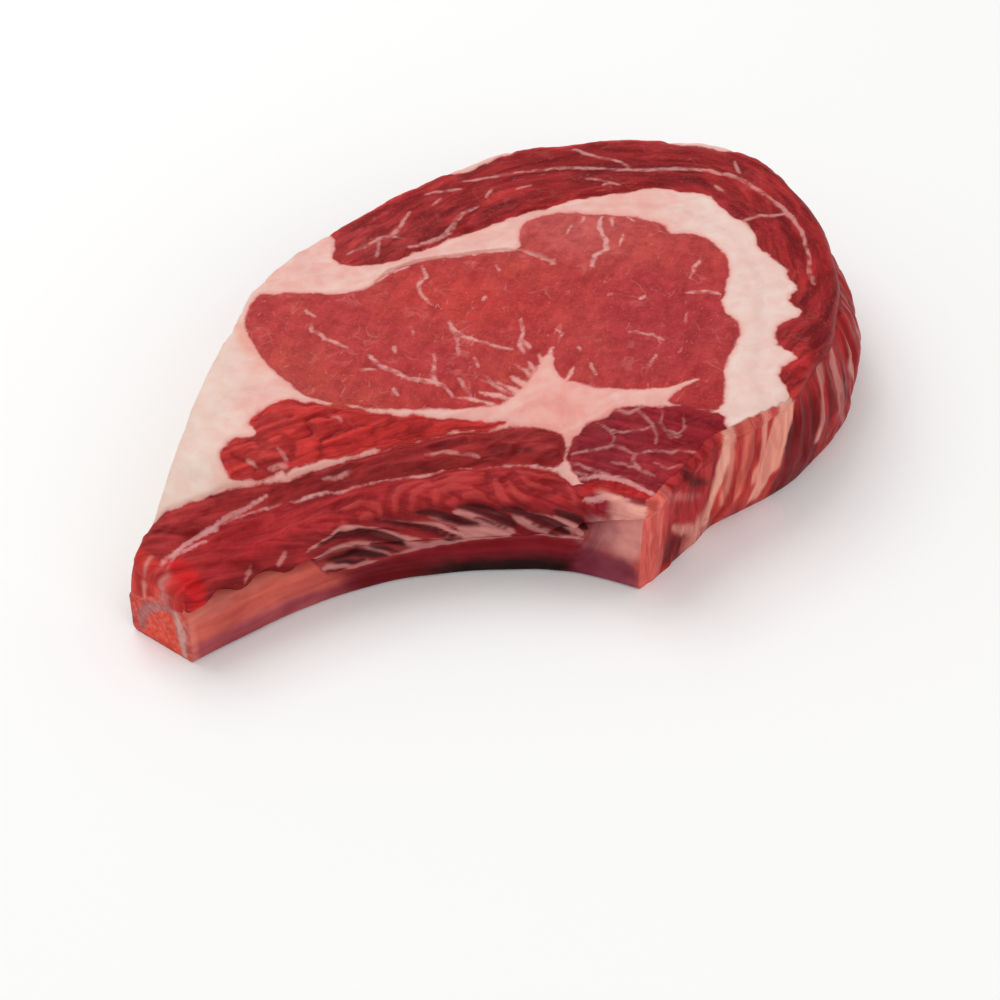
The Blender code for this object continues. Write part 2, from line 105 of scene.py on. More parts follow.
# Marbling seen on the top face: width in mm, then plan points
veins = [
    (1.2, [(-53, 1), (-52.5, -2), (-50, -5), (-47, -7), (-43, -9.5)]),
    (1.4, [(-37.5, -12.5), (-34, -17), (-30, -19), (-26, -22), (-21, -22.5), (-17, -24), (-15, -26.5)]),
    (1.1, [(-16.5, 1), (-15, -3), (-12, -5), (-7, -7), (-2, -9), (1, -9.5)]),
    (0.6, [(-14, -3), (-14, -8), (-13, -13)]),
    (0.6, [(-30, -26), (-29, -28.5)]),
    (0.8, [(-20, -12), (-20, -20), (-19, -24)]),
    (0.6, [(-30, -9), (-30, -12)]),
    (0.6, [(-27, 0), (-25.5, -4)]),
    (0.7, [(-39, -18.5), (-35, -19)]),
    (0.6, [(-9, -13), (-8, -17)]),
    (0.9, [(-6, -21.5), (-2, -24), (2, -25)]),
    (0.8, [(3, 3), (3.5, -3), (2.5, -8), (4, -11)]),
    (0.7, [(3, -5), (5, -9)]),
    (0.6, [(12, 28.5), (11, 26)]),
    (1.0, [(36.5, 13), (35.5, 11)]),
    (1.2, [(47.5, 14.4), (51, 14.6), (56, 14.8)]),
    (0.7, [(32, -2.5), (35, -3.6), (38, -3.8), (40.5, -6)]),
    (0.8, [(38.2, -11.5), (36, -16.5)]),
    (0.8, [(21, -14.5), (22.2, -19.5)]),
    (0.6, [(12, -1), (14, -3), (13, -6)]),
    (0.6, [(18, -8.5), (19, -9.5)]),
    (0.6, [(47.5, 5), (46, 1)]),
    (0.6, [(-55, 7), (-52, 3.5)]),
    (0.8, [(49, 20), (50, 25), (52.4, 29)]),
    (1.3, [(26.5, 49.5), (24.8, 46), (24.6, 42), (26.2, 37), (26.4, 33.5), (23.2, 30.4), (22.4, 25)]),
    (0.7, [(31.5, 40.5), (30, 35.5)]),
    (0.6, [(17.5, 45.5), (16, 41)]),
    (0.7, [(21, 49.5), (20, 46.5)]),
    (0.7, [(29.5, 49.5), (28, 44.5)]),
    (0.8, [(32.5, 50), (35, 46.5)]),
    (0.7, [(-24, 26), (-23.2, 21), (-25, 17), (-24, 13.5), (-21, 9)]),
    (1.8, [(-36.5, 20), (-33, 24), (-28, 26.2)]),
    (0.8, [(-4, 26), (-3, 23.5)]),
    (0.6, [(-6.2, 13), (-7.2, 11)]),
    (1.1, [(2.4, 34), (5, 31.6), (8, 29.4), (12, 26.6)]),
    (1.0, [(-45, 32), (-41, 35), (-37, 38.5), (-33, 40), (-31, 43), (-30, 47), (-28, 51)]),
    (0.6, [(-37, 31), (-36.6, 38.4)]),
    (0.8, [(-33, 40), (-30, 39)]),
    (1.6, [(-20, 39.5), (-18, 42), (-15.4, 46), (-13.6, 50), (-9, 53.5)]),
    (1.0, [(-28, 34.5), (-22, 38), (-16.6, 41.5)]),
    (0.8, [(-24, 59.5), (-18, 61.5), (-13.5, 62)]),
    (0.7, [(-6.4, 57.5), (-5, 62.4)]),
    (0.7, [(1.5, 61.8), (5.6, 63.4)]),
    (0.6, [(-22, 54), (-20, 57)]),
    (1.4, [(4, 70.6), (12, 72.4), (20, 72.8), (30, 72.2), (40, 72.2), (50, 72.2), (57, 71.4), (62, 69),
           (68, 64.5), (73, 59), (77, 53), (79.6, 48), (81.4, 41), (82, 33), (81.6, 26), (82.2, 19)]),
    (0.9, [(-13, 65.8), (-4, 68), (1, 69.4), (5, 71)]),
    (1.3, [(18.4, 82), (22, 80), (26, 78.4), (32, 76.4), (34, 73)]),
    (0.8, [(21.6, 67.4), (27, 66), (31, 64.2)]),
    (0.8, [(25.6, 64), (28, 66)]),
    (0.7, [(58, 64.4), (60.4, 60.6)]),
    (0.7, [(65, 76.6), (66, 69.6)]),
    (1.3, [(65.4, 47.6), (70, 49.8), (74, 49.6), (77.6, 51)]),
    (0.6, [(-13.4, -21.1), (-11.4, -25.5)]),
    (0.6, [(-11.1, -24.2), (-10.4, -26.5)]),
    (0.6, [(-6.5, -20.4), (-2.4, -23.9)]),
    (1.6, [(-65.8, -51.2), (-63.4, -52.8)]),
    (1.4, [(-59.8, -52.4), (-56, -51.6)]),
    (0.7, [(-57.9, -47.1), (-56.1, -48.8), (-55.5, -50.2)]),
    (0.7, [(-45.5, -35.6), (-42.5, -37.6)]),
    (0.7, [(24, -30.6), (27.5, -31.4), (30.2, -32.6), (32.4, -31.6), (34.5, -30.8)]),
    (0.7, [(32.4, -31.3), (34.4, -33.7), (36.4, -36.3), (37.7, -39.8), (36.9, -42.9)]),
    (0.7, [(37.7, -30), (39, -32.7), (38.7, -36.3), (39.8, -38.9), (43.3, -39.4), (44.8, -37.2),
           (44.3, -33.5)]),
    (0.6, [(39.8, -38.9), (41.2, -40.7), (44, -40.3)]),
    (0.7, [(22.5, -34.8), (25.2, -37.2), (28.7, -38.1), (34.3, -38), (36.4, -36.3)]),
    (0.6, [(25.2, -37.2), (26.6, -39.5), (25.8, -41.8)]),
    (0.9, [(16.1, -43), (20.3, -42.1), (25.8, -42.2), (30.6, -44.4), (32.3, -45.4), (36.8, -45.2),
           (42.4, -45.4), (47.9, -46.1)]),
    (1.2, [(31.6, -44.6), (31.4, -47.8), (33.2, -50.7)]),
    (0.7, [(14, -45.3), (17.4, -46.3), (21.5, -48.9), (25.6, -50.5)]),
    (0.7, [(25.7, -46.7), (29.8, -48.4), (33.2, -50.7), (36.5, -53)]),
    (0.7, [(36.7, -48.5), (40.1, -50.5), (42.2, -49.8), (47.6, -51.3)]),
    (0.9, [(14.6, -47.8), (20.1, -49.8), (27, -51.2), (33, -55.6), (36.6, -59)]),
    (0.7, [(36.6, -59), (40.3, -60.1), (42.6, -55.5)]),
    (0.7, [(-46.4, -53.4), (-40, -50.6)]),
    (0.7, [(-21, -43.4), (-15, -42.6), (-8, -43)]),
]

# Silverskin between the eye and the cap, and the fine lines where the two rib bands meet
membranes = [
    (1.1, [(-37.7, 18.7), (-33.6, 24.9), (-26, 29.4), (-18.3, 31.4), (-8.6, 33.3), (-0.8, 34.2),
           (4.1, 32.6)]),
    (1.7, [(3.6, 33), (8, 30.5), (12.3, 26.5)]),
]
seamLines = [
    (0.8, [(-83.9, -81.7), (-81.6, -76.3), (-78.5, -73.2), (-74.9, -70.4), (-73.5, -69)]),
    (0.6, [(-81, -77), (-76.9, -74.1), (-74.7, -72.7)]),
    (0.6, [(-73.5, -69), (-70.8, -66.4), (-64.9, -62.5), (-60.7, -59.2)]),
    (1.3, [(-75, -70), (-73.4, -69), (-72.2, -69.2)]),
    (1.0, [(17.6, -50.4), (22, -50.6), (27.6, -52.6), (33, -56.4), (37.4, -60)]),
    (1.2, [(18.4, -57), (24, -57.6), (30, -60)]),
]

# Rolled folds of the lower band, raised, with a painted highlight along their crests: width, plan points
crests = [
    (1.2, [(-28.7, -60.1), (-28.9, -57), (-27.6, -53.8), (-23.1, -50.7), (-16.1, -48.2), (-7, -47.3)]),
    (1.1, [(-24.7, -59), (-24, -55), (-21.1, -52.3), (-14.1, -50.2), (-7, -49.2)]),
    (1.1, [(-18.7, -56.9), (-18.3, -54), (-14, -52.3), (-10, -52.3)]),
    (1.3, [(-11.6, -55), (-9, -54.2), (-6.2, -55.4)]),
    (1.4, [(-3.6, -49.3), (-2.7, -53.5), (0.1, -57.4)]),
    (1.1, [(-0.4, -50.5), (1.6, -54.1), (6.1, -57.9), (9.6, -59.8)]),
    (1.0, [(3.1, -49.2), (6.1, -51.9), (10.2, -53.5)]),
    (1.1, [(-41.9, -60.3), (-37.4, -58.5), (-32.9, -59.2), (-31.9, -61.6)]),
    (1.0, [(-37.3, -62.2), (-35.3, -61.3), (-33.8, -63.4)]),
    (1.0, [(-41.7, -63.7), (-38.7, -64.5), (-36.2, -66)]),
    (1.0, [(2, -46.9), (8.2, -48.2), (14.3, -50.6)]),
    (1.0, [(14.7, -50.6), (15.7, -54.5), (17.1, -58.3)]),
]

# Silverskin streaks over the rib, and the slits between them painted near black as shade, on the front wall:
# width, then x and height
streaks = [
    (2.0, [(-50, 19.6), (-45.4, 21.6), (-41.7, 22.6), (-38.8, 21.3), (-32.1, 17.9), (-25.7, 13.5),
           (-21.6, 11.6)]),
    (1.8, [(-49, 15), (-45.6, 16.8), (-42, 17.1), (-38.1, 16.3), (-33.7, 13.2), (-29.6, 9.2)]),
    (2.0, [(-48.6, 10.8), (-45.4, 12), (-42.2, 11.5), (-39.3, 9.6), (-35.8, 10), (-32.4, 8.2)]),
    (3.2, [(-31, 8.3), (-25.8, 9.8), (-19.7, 10.9), (-12.1, 11.5), (-6, 12.6)]),
    (1.7, [(-24.2, 19), (-18.6, 17.3), (-14.1, 15.1), (-9.4, 11.7)]),
    (3.6, [(-14, 22), (-10, 18.9), (-7, 16.3), (-2.2, 14.3)]),
    (4.6, [(-12.5, 15.5), (-5, 14.2), (1, 13.3)]),
    (3.0, [(1, 19), (3.7, 16.2), (6.7, 14.4), (12, 12.4)]),
    (1.5, [(2, 22), (6.2, 20.3), (9.7, 17.5), (12.8, 15.1)]),
    (3.0, [(9.8, 12.4), (14.9, 12), (20, 11.9)]),
    (2.2, [(11.6, 19.4), (14.8, 17.6), (18.8, 14.5)]),
    (1.4, [(-64, 23), (-64.5, 20.3), (-65.2, 17.4)]),
    (1.4, [(-55.8, 21.9), (-56.6, 20), (-57.2, 18)]),
    (1.0, [(-38.4, 20.4), (-33, 17), (-27.4, 13.2), (-22, 11)]),
    (0.9, [(-29.8, 21.4), (-24.4, 18.6), (-18, 15.2), (-13, 12.6)]),
    (0.9, [(-20, 20.6), (-14, 18), (-9, 15.2)]),
    (0.9, [(-6.4, 21.6), (-2, 18.8), (2.6, 15.4)]),
    (0.9, [(7, 21), (11.6, 18), (16, 14.6)]),
    (0.9, [(-45, 9.4), (-41, 8.8), (-37, 8.2)]),
]
# Slits: grooves between the streaks, painted near black as shade
slits = [
    (3.4, [(-47, 20.4), (-42.3, 20.6), (-37, 19.2), (-32.1, 16), (-26.6, 12.7)]),
    (2.2, [(-46, 14.6), (-39.1, 14.3), (-35.3, 12.3), (-30.4, 9.4)]),
    (1.4, [(-44, 13), (-41.2, 12.5), (-38.8, 11.2), (-36.2, 11.2)]),
    (2.0, [(-34, 23), (-27.1, 19.2), (-19.6, 15.8), (-12, 12.8)]),
    (3.2, [(-23, 22.4), (-18, 21.1), (-13.5, 18.9), (-8, 16.1)]),
    (4.6, [(-13, 24.2), (-7.5, 22), (-2.9, 18.8), (1.6, 15)]),
    (3.8, [(-2, 22.6), (4.1, 19.8), (8.7, 17.5), (15, 14.6)]),
    (3.2, [(11, 21.9), (16.2, 19.5), (21.4, 15.9)]),
    (1.4, [(-35.4, 15), (-31.3, 12.1), (-27.8, 9.9)]),
    (1.1, [(-47, 11), (-43.6, 10), (-40.4, 9.8)]),
    (1.2, [(-24, 16.6), (-18.6, 14.4), (-13.6, 12.4)]),
    (1.2, [(-9, 18.6), (-4.6, 16.4), (-0.6, 14)]),
    (1.2, [(6, 16), (10, 14), (13.6, 12.6)]),
]

# Stripes on the right wall, from the chine corner on: width, shade, distance along the wall and height
wallStripes = [
    (3.2, (0.7, 0.3, 0.23), [(35, 46), (32.5, 30), (29.5, 18), (27, 4)]),
    (6.0, (0.72, 0.27, 0.205), [(60, 46), (52.5, 30), (47, 18), (42.5, 4)]),
    (2.6, (0.62, 0.12, 0.09), [(39, 45), (38.5, 24), (36, 8)]),
    (2.0, (0.68, 0.22, 0.17), [(45, 45), (44, 24), (41, 12)]),
    (1.6, (0.66, 0.2, 0.15), [(33.5, 30), (33, 18), (32, 8)]),
    (2.4, (0.5, 0.18, 0.155), [(74, 36), (70.6, 26), (68.6, 18), (66, 11)]),
    (2.6, (0.46, 0.15, 0.135), [(81, 32), (79, 21), (80, 13), (85, 5)]),
    (2.2, (0.5, 0.2, 0.17), [(93, 30), (91, 19), (94, 8)]),
    (2.0, (0.46, 0.16, 0.14), [(105, 30), (103, 19), (105, 9)]),
    (3.2, (0.55, 0.19, 0.16), [(12, 14), (19, 8), (27, 6)]),
    (2.0, (0.5, 0.09, 0.08), [(3, 34), (10, 26), (22, 18)]),
    (2.2, (0.14, 0.008, 0.01), [(12, 36), (17, 27), (25, 20)]),
    (2.0, (0.13, 0.007, 0.009), [(75, 30), (73.4, 18), (71, 8)]),
    (2.0, (0.13, 0.007, 0.009), [(86, 27), (84, 18), (87, 10)]),
]

# Pale rim of fat left on the outer edge: width, plan points
fatPatches = [
    (4.4, [(47, 88.2), (56, 87), (64, 83.4)]),
    (3.4, [(-17.4, 70.6), (-9, 76), (-0.5, 81)]),
]

# Fingers of fat that run from the star into the eye
fatFingers = [
    (2.0, [(11.2, -7.6), (10.6, -12), (10.4, -20)]),
    (1.6, [(7.6, -11), (9, -16), (10, -23)]),
    (1.4, [(4.6, -14), (7, -19), (9, -24)]),
    (1.2, [(1.4, -14.4), (4.6, -18.6), (8, -24)]),
    (1.4, [(0, -19.6), (4, -22.4), (8, -25.6)]),
    (1.3, [(-3.4, -21.4), (1.4, -24), (6, -26.6)]),
    (1.4, [(-8, -24.6), (-2, -26), (5, -28)]),
    (1.0, [(-15, -26.6), (-7, -27.8), (0, -29)]),
    (1.2, [(16.6, -16), (15, -19.6), (14, -23)]),
    (1.2, [(49, -20.6), (45, -22), (38, -25)]),
]


def ease(value):
    value = np.clip(value, 0.0, 1.0)
    return value * value * (3.0 - 2.0 * value)


def bell(value):
    return np.exp(-value * value)


def topHeight(x, y):
    # The cut face, lower along its front edge and a little wavy behind it
    frontX, frontY, frontZ = np.array(frontRows).T
    edgeZ = np.interp(x, frontX, frontZ)
    rise = ease((y - np.interp(x, frontX, frontY)) / meat["riseOver"])
    swell = meat["swell"] * np.sin(x / 24.0 + 0.6) * np.sin(y / 21.0 + 0.4)
    return edgeZ + (meat["thickness"] - edgeZ) * rise + swell * rise


def smoothLoop(rows, count):
    # Smooth closed curve through the rows, read at even steps
    rows = np.array(rows, float)
    before, after, beyond = (np.roll(rows, k, axis=0) for k in (1, -1, -2))
    fine = []
    for share in np.arange(12) / 12.0:
        fine.append(0.5 * (2.0 * rows + (after - before) * share
                           + (2.0 * before - 5.0 * rows + 4.0 * after - beyond) * share ** 2
                           + (3.0 * rows - before - 3.0 * after + beyond) * share ** 3))
    fine = np.stack(fine, axis=1).reshape(-1, rows.shape[1])
    fine = np.vstack([fine, fine[:1]])
    steps = np.hypot(*(fine[1:, :2] - fine[:-1, :2]).T)
    along = np.concatenate([[0.0], np.cumsum(steps)])
    wanted = np.arange(count) * along[-1] / count
    return np.stack([np.interp(wanted, along, fine[:, k]) for k in range(rows.shape[1])], axis=1)


def noise(points, size, seed):
    # Smooth random values between -1 and 1, one cell to each size in mm
    table = np.random.default_rng(seed).uniform(-1.0, 1.0, (61, 59, 53))
    scaled = points / size + 1000.0
    cell = np.floor(scaled).astype(int)
    part = scaled - cell
    part = part * part * part * (part * (part * 6.0 - 15.0) + 10.0)
    total = np.zeros(len(points))
    for corner in np.ndindex(2, 2, 2):
        weight = np.prod(np.where(corner, part, 1.0 - part), axis=1)
        total += weight * table[tuple(((cell + corner) % table.shape).T)]
    return total


def layered(points, size, seed, octaves=3):
    return sum(noise(points, size / 2 ** k, seed + k) / 2 ** k for k in range(octaves))


def toSegment(points, start, run):
    # How far along a segment the nearest spot lies, 0 to 1, and how far away it is in mm
    share = np.clip(((points - start) @ run) / max(run @ run, 1e-9), 0.0, 1.0)
    gap = points - (start + share[:, None] * run)
    return share, np.hypot(gap[:, 0], gap[:, 1])


def edgeDistance(points, loop):
    nearest = np.full(len(points), 1e6)
    for start, run in zip(loop, np.roll(loop, -1, axis=0) - loop):
        nearest = np.minimum(nearest, toSegment(points, start, run)[1])
    return nearest


def depthInside(points, loop):
    # Distance to a closed outline in mm, above zero inside it
    inside = np.zeros(len(points), bool)
    for start, end in zip(loop, np.roll(loop, -1, axis=0)):
        spans = (start[1] > points[:, 1]) != (end[1] > points[:, 1])
        rise = end[1] - start[1]
        crossing = start[0] + (points[:, 1] - start[1]) * (end[0] - start[0]) / (rise if rise else 1e-9)
        inside ^= spans & (points[:, 0] < crossing)
    return edgeDistance(points, loop) * np.where(inside, 1.0, -1.0)


def strokeDepth(points, strokes, scale=1.0):
    # How far inside the nearest stroke each point is; a stroke thins out to its ends
    best = np.full(len(points), far)
    for width, line in strokes:
        line = np.array(line, float)
        runs = np.diff(line, axis=0)
        done = np.concatenate([[0.0], np.cumsum(np.hypot(runs[:, 0], runs[:, 1]))])
        reach = width * scale + 5.0
        close = np.all((points > line.min(axis=0) - reach) & (points < line.max(axis=0) + reach), axis=1)
        spots, found = points[close], best[close]
        for start, run, before, after in zip(line, runs, done, done[1:]):
            share, gap = toSegment(spots, start, run)
            along = (before + share * (after - before)) / done[-1]
            swell = 0.35 + 0.65 * np.sqrt(np.sin(math.pi * np.clip(along, 0.0, 1.0)))
            found = np.maximum(found, scale * width / 2.0 * swell - gap)
        best[close] = found
    return best


def inMetres(points):
    return ((points + np.array([shift[0], shift[1], 0.0])) * mm).ravel()


def readVector(mesh, name):
    found = np.zeros(len(mesh.vertices) * 3)
    mesh.vertices.foreach_get(name, found)
    return found.reshape(-1, 3)


def toMesh(bm, name):
    mesh = bpy.data.meshes.new(name)
    bm.to_mesh(mesh)
    bm.free()
    return mesh


def drawOut(bm, edges, heights):
    # Rings drawn out from a loop of edges, one to each height; the last ring's edges come back
    for height in heights:
        made = bmesh.ops.extrude_edge_only(bm, edges=edges)["geom"]
        fresh = {item for item in made if isinstance(item, bmesh.types.BMVert)}
        for vert in fresh:
            vert.co.z = height
        edges = [item for item in made if isinstance(item, bmesh.types.BMEdge)
                 and fresh.issuperset(item.verts)]
    return edges


def turnOutward(mesh):
    bm = bmesh.new()
    bm.from_mesh(mesh)
    bmesh.ops.recalc_face_normals(bm, faces=bm.faces[:])
    bm.to_mesh(mesh)
    bm.free()


def link(thing):
    bpy.context.scene.collection.objects.link(thing)
    return thing


# The wall's outline at even steps, and what belongs to it
wallLoop = smoothLoop(wallRows, 1600)
chords = sum(np.roll(wallLoop[:, :2], -k, axis=0) - np.roll(wallLoop[:, :2], k, axis=0)
             for k in range(8, 49, 8))
chords /= np.hypot(chords[:, 0], chords[:, 1])[:, None]
wallOutward = np.stack([chords[:, 1], -chords[:, 0]], axis=1)
rimPlan = wallLoop[:, :2] - wallOutward * wallLoop[:, 2:3]
wallLength = np.sum(np.hypot(*(np.roll(wallLoop[:, :2], -1, axis=0) - wallLoop[:, :2]).T))


def loopIndex(x, y):
    return int(np.argmin(np.hypot(wallLoop[:, 0] - x, wallLoop[:, 1] - y)))


# Camera, at the photograph's angle
view = dict(lens=85.0, sensor=36.0, place=(0.0, -490.27, 428.38), toward=(-0.004044, 0.732414, -0.680847))
camera = link(bpy.data.objects.new("camera", bpy.data.cameras.new("camera")))
camera.data.lens = view["lens"]
camera.data.sensor_width = view["sensor"]
camera.data.clip_start = 0.01
camera.location = inMetres(np.array(view["place"]))
camera.rotation_euler = Vector(view["toward"]).to_track_quat("-Z", "Y").to_euler()
bpy.context.scene.camera = camera


# Raw meat: a grid over the top and a coarser one below, joined by the wall; lengths in mm
meat = dict(cells=260, wallRings=27, coarse=5, thickness=35.0, lift=0.3, riseOver=42.0, swell=0.5,
            rimRadius=3.0, widest=0.4, notch=2.0, behindRib=2.6, overRib=0.9,
            corners=[(34.0, -62.9), (80.0, 73.0), (-33.0, 61.0), (-78.4, -89.9)],
            specular=0.075, scatter=0.08, scatterRadius=(1.0, 0.3, 0.2), scatterDepth=0.0015,
            bump=0.5, bumpDepth=0.00035)


def meatTopology():
    bm = bmesh.new()
    cells, rings = meat["cells"], meat["wallRings"]
    bmesh.ops.create_grid(bm, x_segments=cells, y_segments=cells, size=1.0)
    rim = [edge for edge in bm.edges if edge.is_boundary]
    edges = drawOut(bm, rim, [-ring / rings for ring in range(1, rings + 1)])
    below = cells // meat["coarse"]
    for vert in bmesh.ops.create_grid(bm, x_segments=below, y_segments=below, size=1.0)["verts"]:
        vert.co.z = -2.0
    edges += [edge for edge in bm.edges if edge.is_boundary and edge.verts[0].co.z < -1.5]
    bmesh.ops.bridge_loops(bm, edges=edges)
    return toMesh(bm, "steakMeat")


def squareTurn(across, up):
    # Place round the square's edge, counterclockwise from its lower right corner, 0 to 4
    size = np.maximum(np.maximum(np.abs(across), np.abs(up)), 1e-9)
    a, b = across / size, up / size
    turn = 3.0 + (a + 1.0) / 2.0
    turn = np.where(a < -0.999999, 2.0 + (1.0 - b) / 2.0, turn)
    turn = np.where(b > 0.999999, 1.0 + (1.0 - a) / 2.0, turn)
    turn = np.where(a > 0.999999, (b + 1.0) / 2.0, turn)
    return np.mod(turn, 4.0)


unrolled = [loopIndex(*meat["corners"][0])]
for spot in meat["corners"][1:] + meat["corners"][:1]:
    index = loopIndex(*spot)
    while index <= unrolled[-1]:
        index += len(wallLoop)
    unrolled.append(index)


def onLoop(values, turn):
    # Read a value of the outline at a place round the square
    place = np.interp(turn, [0.0, 1.0, 2.0, 3.0, 4.0], unrolled)
    low = np.floor(place).astype(int)
    part = place - low
    if values.ndim > 1:
        part = part[:, None]
    return values[low % len(values)] * (1.0 - part) + values[(low + 1) % len(values)] * part


def patch(loop, across, up):
    # Smooth fill of a closed outline from a square grid
    u, v = (across + 1.0) / 2.0, (up + 1.0) / 2.0
    bottom, top = onLoop(loop, 3.0 + u * 0.999999), onLoop(loop, 2.0 - u)
    left, right = onLoop(loop, 3.0 - v), onLoop(loop, v)
    corners = [onLoop(loop, np.array([float(k)]))[0] for k in (3, 0, 1, 2)]
    u, v = u[:, None], v[:, None]
    sides = (1.0 - v) * bottom + v * top + (1.0 - u) * left + u * right
    return sides - ((1.0 - u) * (1.0 - v) * corners[0] + u * (1.0 - v) * corners[1]
                    + u * v * corners[2] + (1.0 - u) * v * corners[3])


def notchDepth(x, y, share):
    # Hollow of the front wall between the two bands and the rib
    across = ease((x + 54.0) / 14.0) * ease((20.0 - x) / 10.0) * (y < -40.0)
    return meat["notch"] * across * np.sin(math.pi * np.clip((share - 0.42) / 0.56, 0.0, 1.0)) ** 2


print("meat: grid")
mesh = meatTopology()
grid = readVector(mesh, "co")
isTop = grid[:, 2] > -1e-4
isBelow = grid[:, 2] < -1.5
isWall = ~isTop & ~isBelow
turn = squareTurn(grid[:, 0], grid[:, 1])
place = np.zeros((len(grid), 3))
inset = np.full(len(grid), 50.0)  # how far in from the outline, in mm

# Top face
topPlan = patch(rimPlan, grid[isTop, 0], grid[isTop, 1])
rimEdge = edgeDistance(topPlan, rimPlan[::4])
radius = meat["rimRadius"]
lack = np.clip(radius - rimEdge, 0.0, radius)
drop = radius - np.sqrt(np.maximum(radius ** 2 - lack ** 2, 0.0))
place[isTop] = columns([topPlan, topHeight(topPlan[:, 0], topPlan[:, 1]) + meat["lift"] - drop])
inset[isTop] = rimEdge + onLoop(wallLoop[:, 2], turn[isTop])

# Wall, drawn in behind the rib
share = (1.0 + grid[isWall, 2]) ** 0.94
rows = onLoop(wallLoop, turn[isWall])
rowX, rowY, rimIn, footIn, ribHeight = rows.T
rim = onLoop(rimPlan, turn[isWall])
height = (topHeight(rim[:, 0], rim[:, 1]) + meat["lift"] - radius) * share
widest = meat["widest"]
wallInset = footIn * np.clip(1.0 - share / widest, 0.0, 1.0) ** 2
wallInset += rimIn * np.clip((share - widest) / (1.0 - widest), 0.0, 1.0) ** 2
wallInset += notchDepth(rowX, rowY, share)
lobes = 1.3 * np.sin(rowX * 0.62 + 1.0) * ease((-46.0 - rowX) / 10.0) * ease((rowX + 76.0) / 5.0)
covered = ease((ribHeight + lobes * (rowY < -60.0) - height) / 2.4 + 0.5) * ease(ribHeight / 4.0)
depthBehind = np.interp(rowX, [-79.0, -73.0, 14.0, 24.0, 34.5, 37.0],
                        [1.3, meat["behindRib"], meat["behindRib"], 1.0, 1.0, 0.3])
wallInset += depthBehind * covered
inset[isWall] = wallInset
wallPlan = rows[:, :2] - onLoop(wallOutward, turn[isWall]) * wallInset[:, None]
place[isWall] = columns([wallPlan, height])

# Underside, lifted a little over the rib's own foot
ribOutline = [(-78.0, -89.6), (-70.5, -83.9), (-57.0, -74.0), (-44.0, -66.5), (-28.0, -60.0), (-9.0, -57.0),
              (7.0, -56.4), (17.0, -57.5), (26.0, -60.5), (33.6, -63.6), (43.0, -54.5), (28.0, -47.0),
              (18.0, -43.6), (7.0, -42.4), (-9.0, -43.0), (-30.0, -46.0), (-48.0, -52.0), (-66.0, -60.0),
              (-81.0, -69.0), (-94.4, -77.4)]
belowIn = wallLoop[:, 3:4] + 0.8 + 2.6 * ease(wallLoop[:, 4:5] / 4.0)
belowPlan = patch(wallLoop[:, :2] - wallOutward * belowIn, grid[isBelow, 0], grid[isBelow, 1])
overRib = depthInside(belowPlan, np.array(ribOutline))
place[isBelow] = columns([belowPlan, meat["overRib"] * ease((overRib + 1.0) / 3.0)])
mesh.vertices.foreach_set("co", inMetres(place))
turnOutward(mesh)
normals = readVector(mesh, "normal")
plan = place[:, :2]
atX, atY, atZ = place.T

print("meat: distances")
wander = columns([layered(place, 7.0, 3), layered(place, 7.0, 13)]) * 0.45
ripple = columns([noise(place, 2.4, 5), noise(place, 2.4, 15)]) * 0.3
# How ragged each muscle's outline is, and how deep each point lies in it
frayed = {"chine": 2.0, "tail": 2.0, "eye": 0.9, "upperBand": 0.8, "lowerBand": 0.8, "cap": 1.3}
depths = {name: depthInside(plan + (wander + ripple) * frayed[name], smoothLoop(muscle["outline"], 200))
          for name, muscle in muscles.items()}
veinDepth = strokeDepth(plan + wander + ripple * 1.4, veins, 0.8) - 0.1 * (depths["chine"] > 0.0)
crestDepth = strokeDepth(plan + wander * 0.7, crests)
seamDepth = strokeDepth(plan + wander * 0.6, seamLines)
membraneDepth = strokeDepth(plan + wander * 0.5, membranes)
patchDepth = strokeDepth(plan + wander * 2.0, fatPatches)
meatDepth = np.max(np.stack(list(depths.values())), axis=0)
inSeam = ease((depths["lowerBand"] + 4.0) / 2.0) * ease((depths["upperBand"] + 4.0) / 2.0)
meatDepth += 0.4 * inSeam
overBand = ease((depths["tail"] + 4.0) / 2.0) * ease((depths["upperBand"] + 4.0) / 2.0)
meatDepth += 0.45 * overBand * ease((atX + 40.0) / 10.0)
fingerDepth = strokeDepth(plan + wander * 0.8 + ripple * 1.5, fatFingers)
meatDepth = np.minimum(meatDepth, -np.maximum(patchDepth, fingerDepth) - 0.2)

# Charts of the walls: distance along from the chine corner, or x on the front; height as the eye meets it
loopPlace = np.interp(turn, [0.0, 1.0, 2.0, 3.0, 4.0], unrolled)
alongWall = np.mod(loopPlace - unrolled[0], len(wallLoop)) * wallLength / len(wallLoop)
chartHeight = atZ + 0.93 * np.where(inset < 6.0, inset, 0.0)
nearRim = isWall | (inset < 4.6)
frontZone = nearRim & (atY < -44.0) & (alongWall > 300.0)
frontZone &= (atX < 34.0) & (atX > -78.5)
rightZone = (isWall | (isTop & (inset < 2.2))) & (alongWall < 175.0)
tipAlong = (atX + 93.4) * 0.775 - (atY + 76.8) * 0.632  # across the tip's end, and in from it
tipOff = (atX + 93.4) * 0.632 + (atY + 76.8) * 0.775
tipZone = isWall & (tipOff < 4.5) & (tipAlong > -1.5) & (tipAlong < 21.0) & ~frontZone
frontChart = columns([atX, chartHeight])
sideChart = columns([alongWall, atZ])
streakDepth = np.where(frontZone, strokeDepth(frontChart + wander, streaks), far)
slitDepth = np.where(frontZone, strokeDepth(frontChart + wander, slits), far)

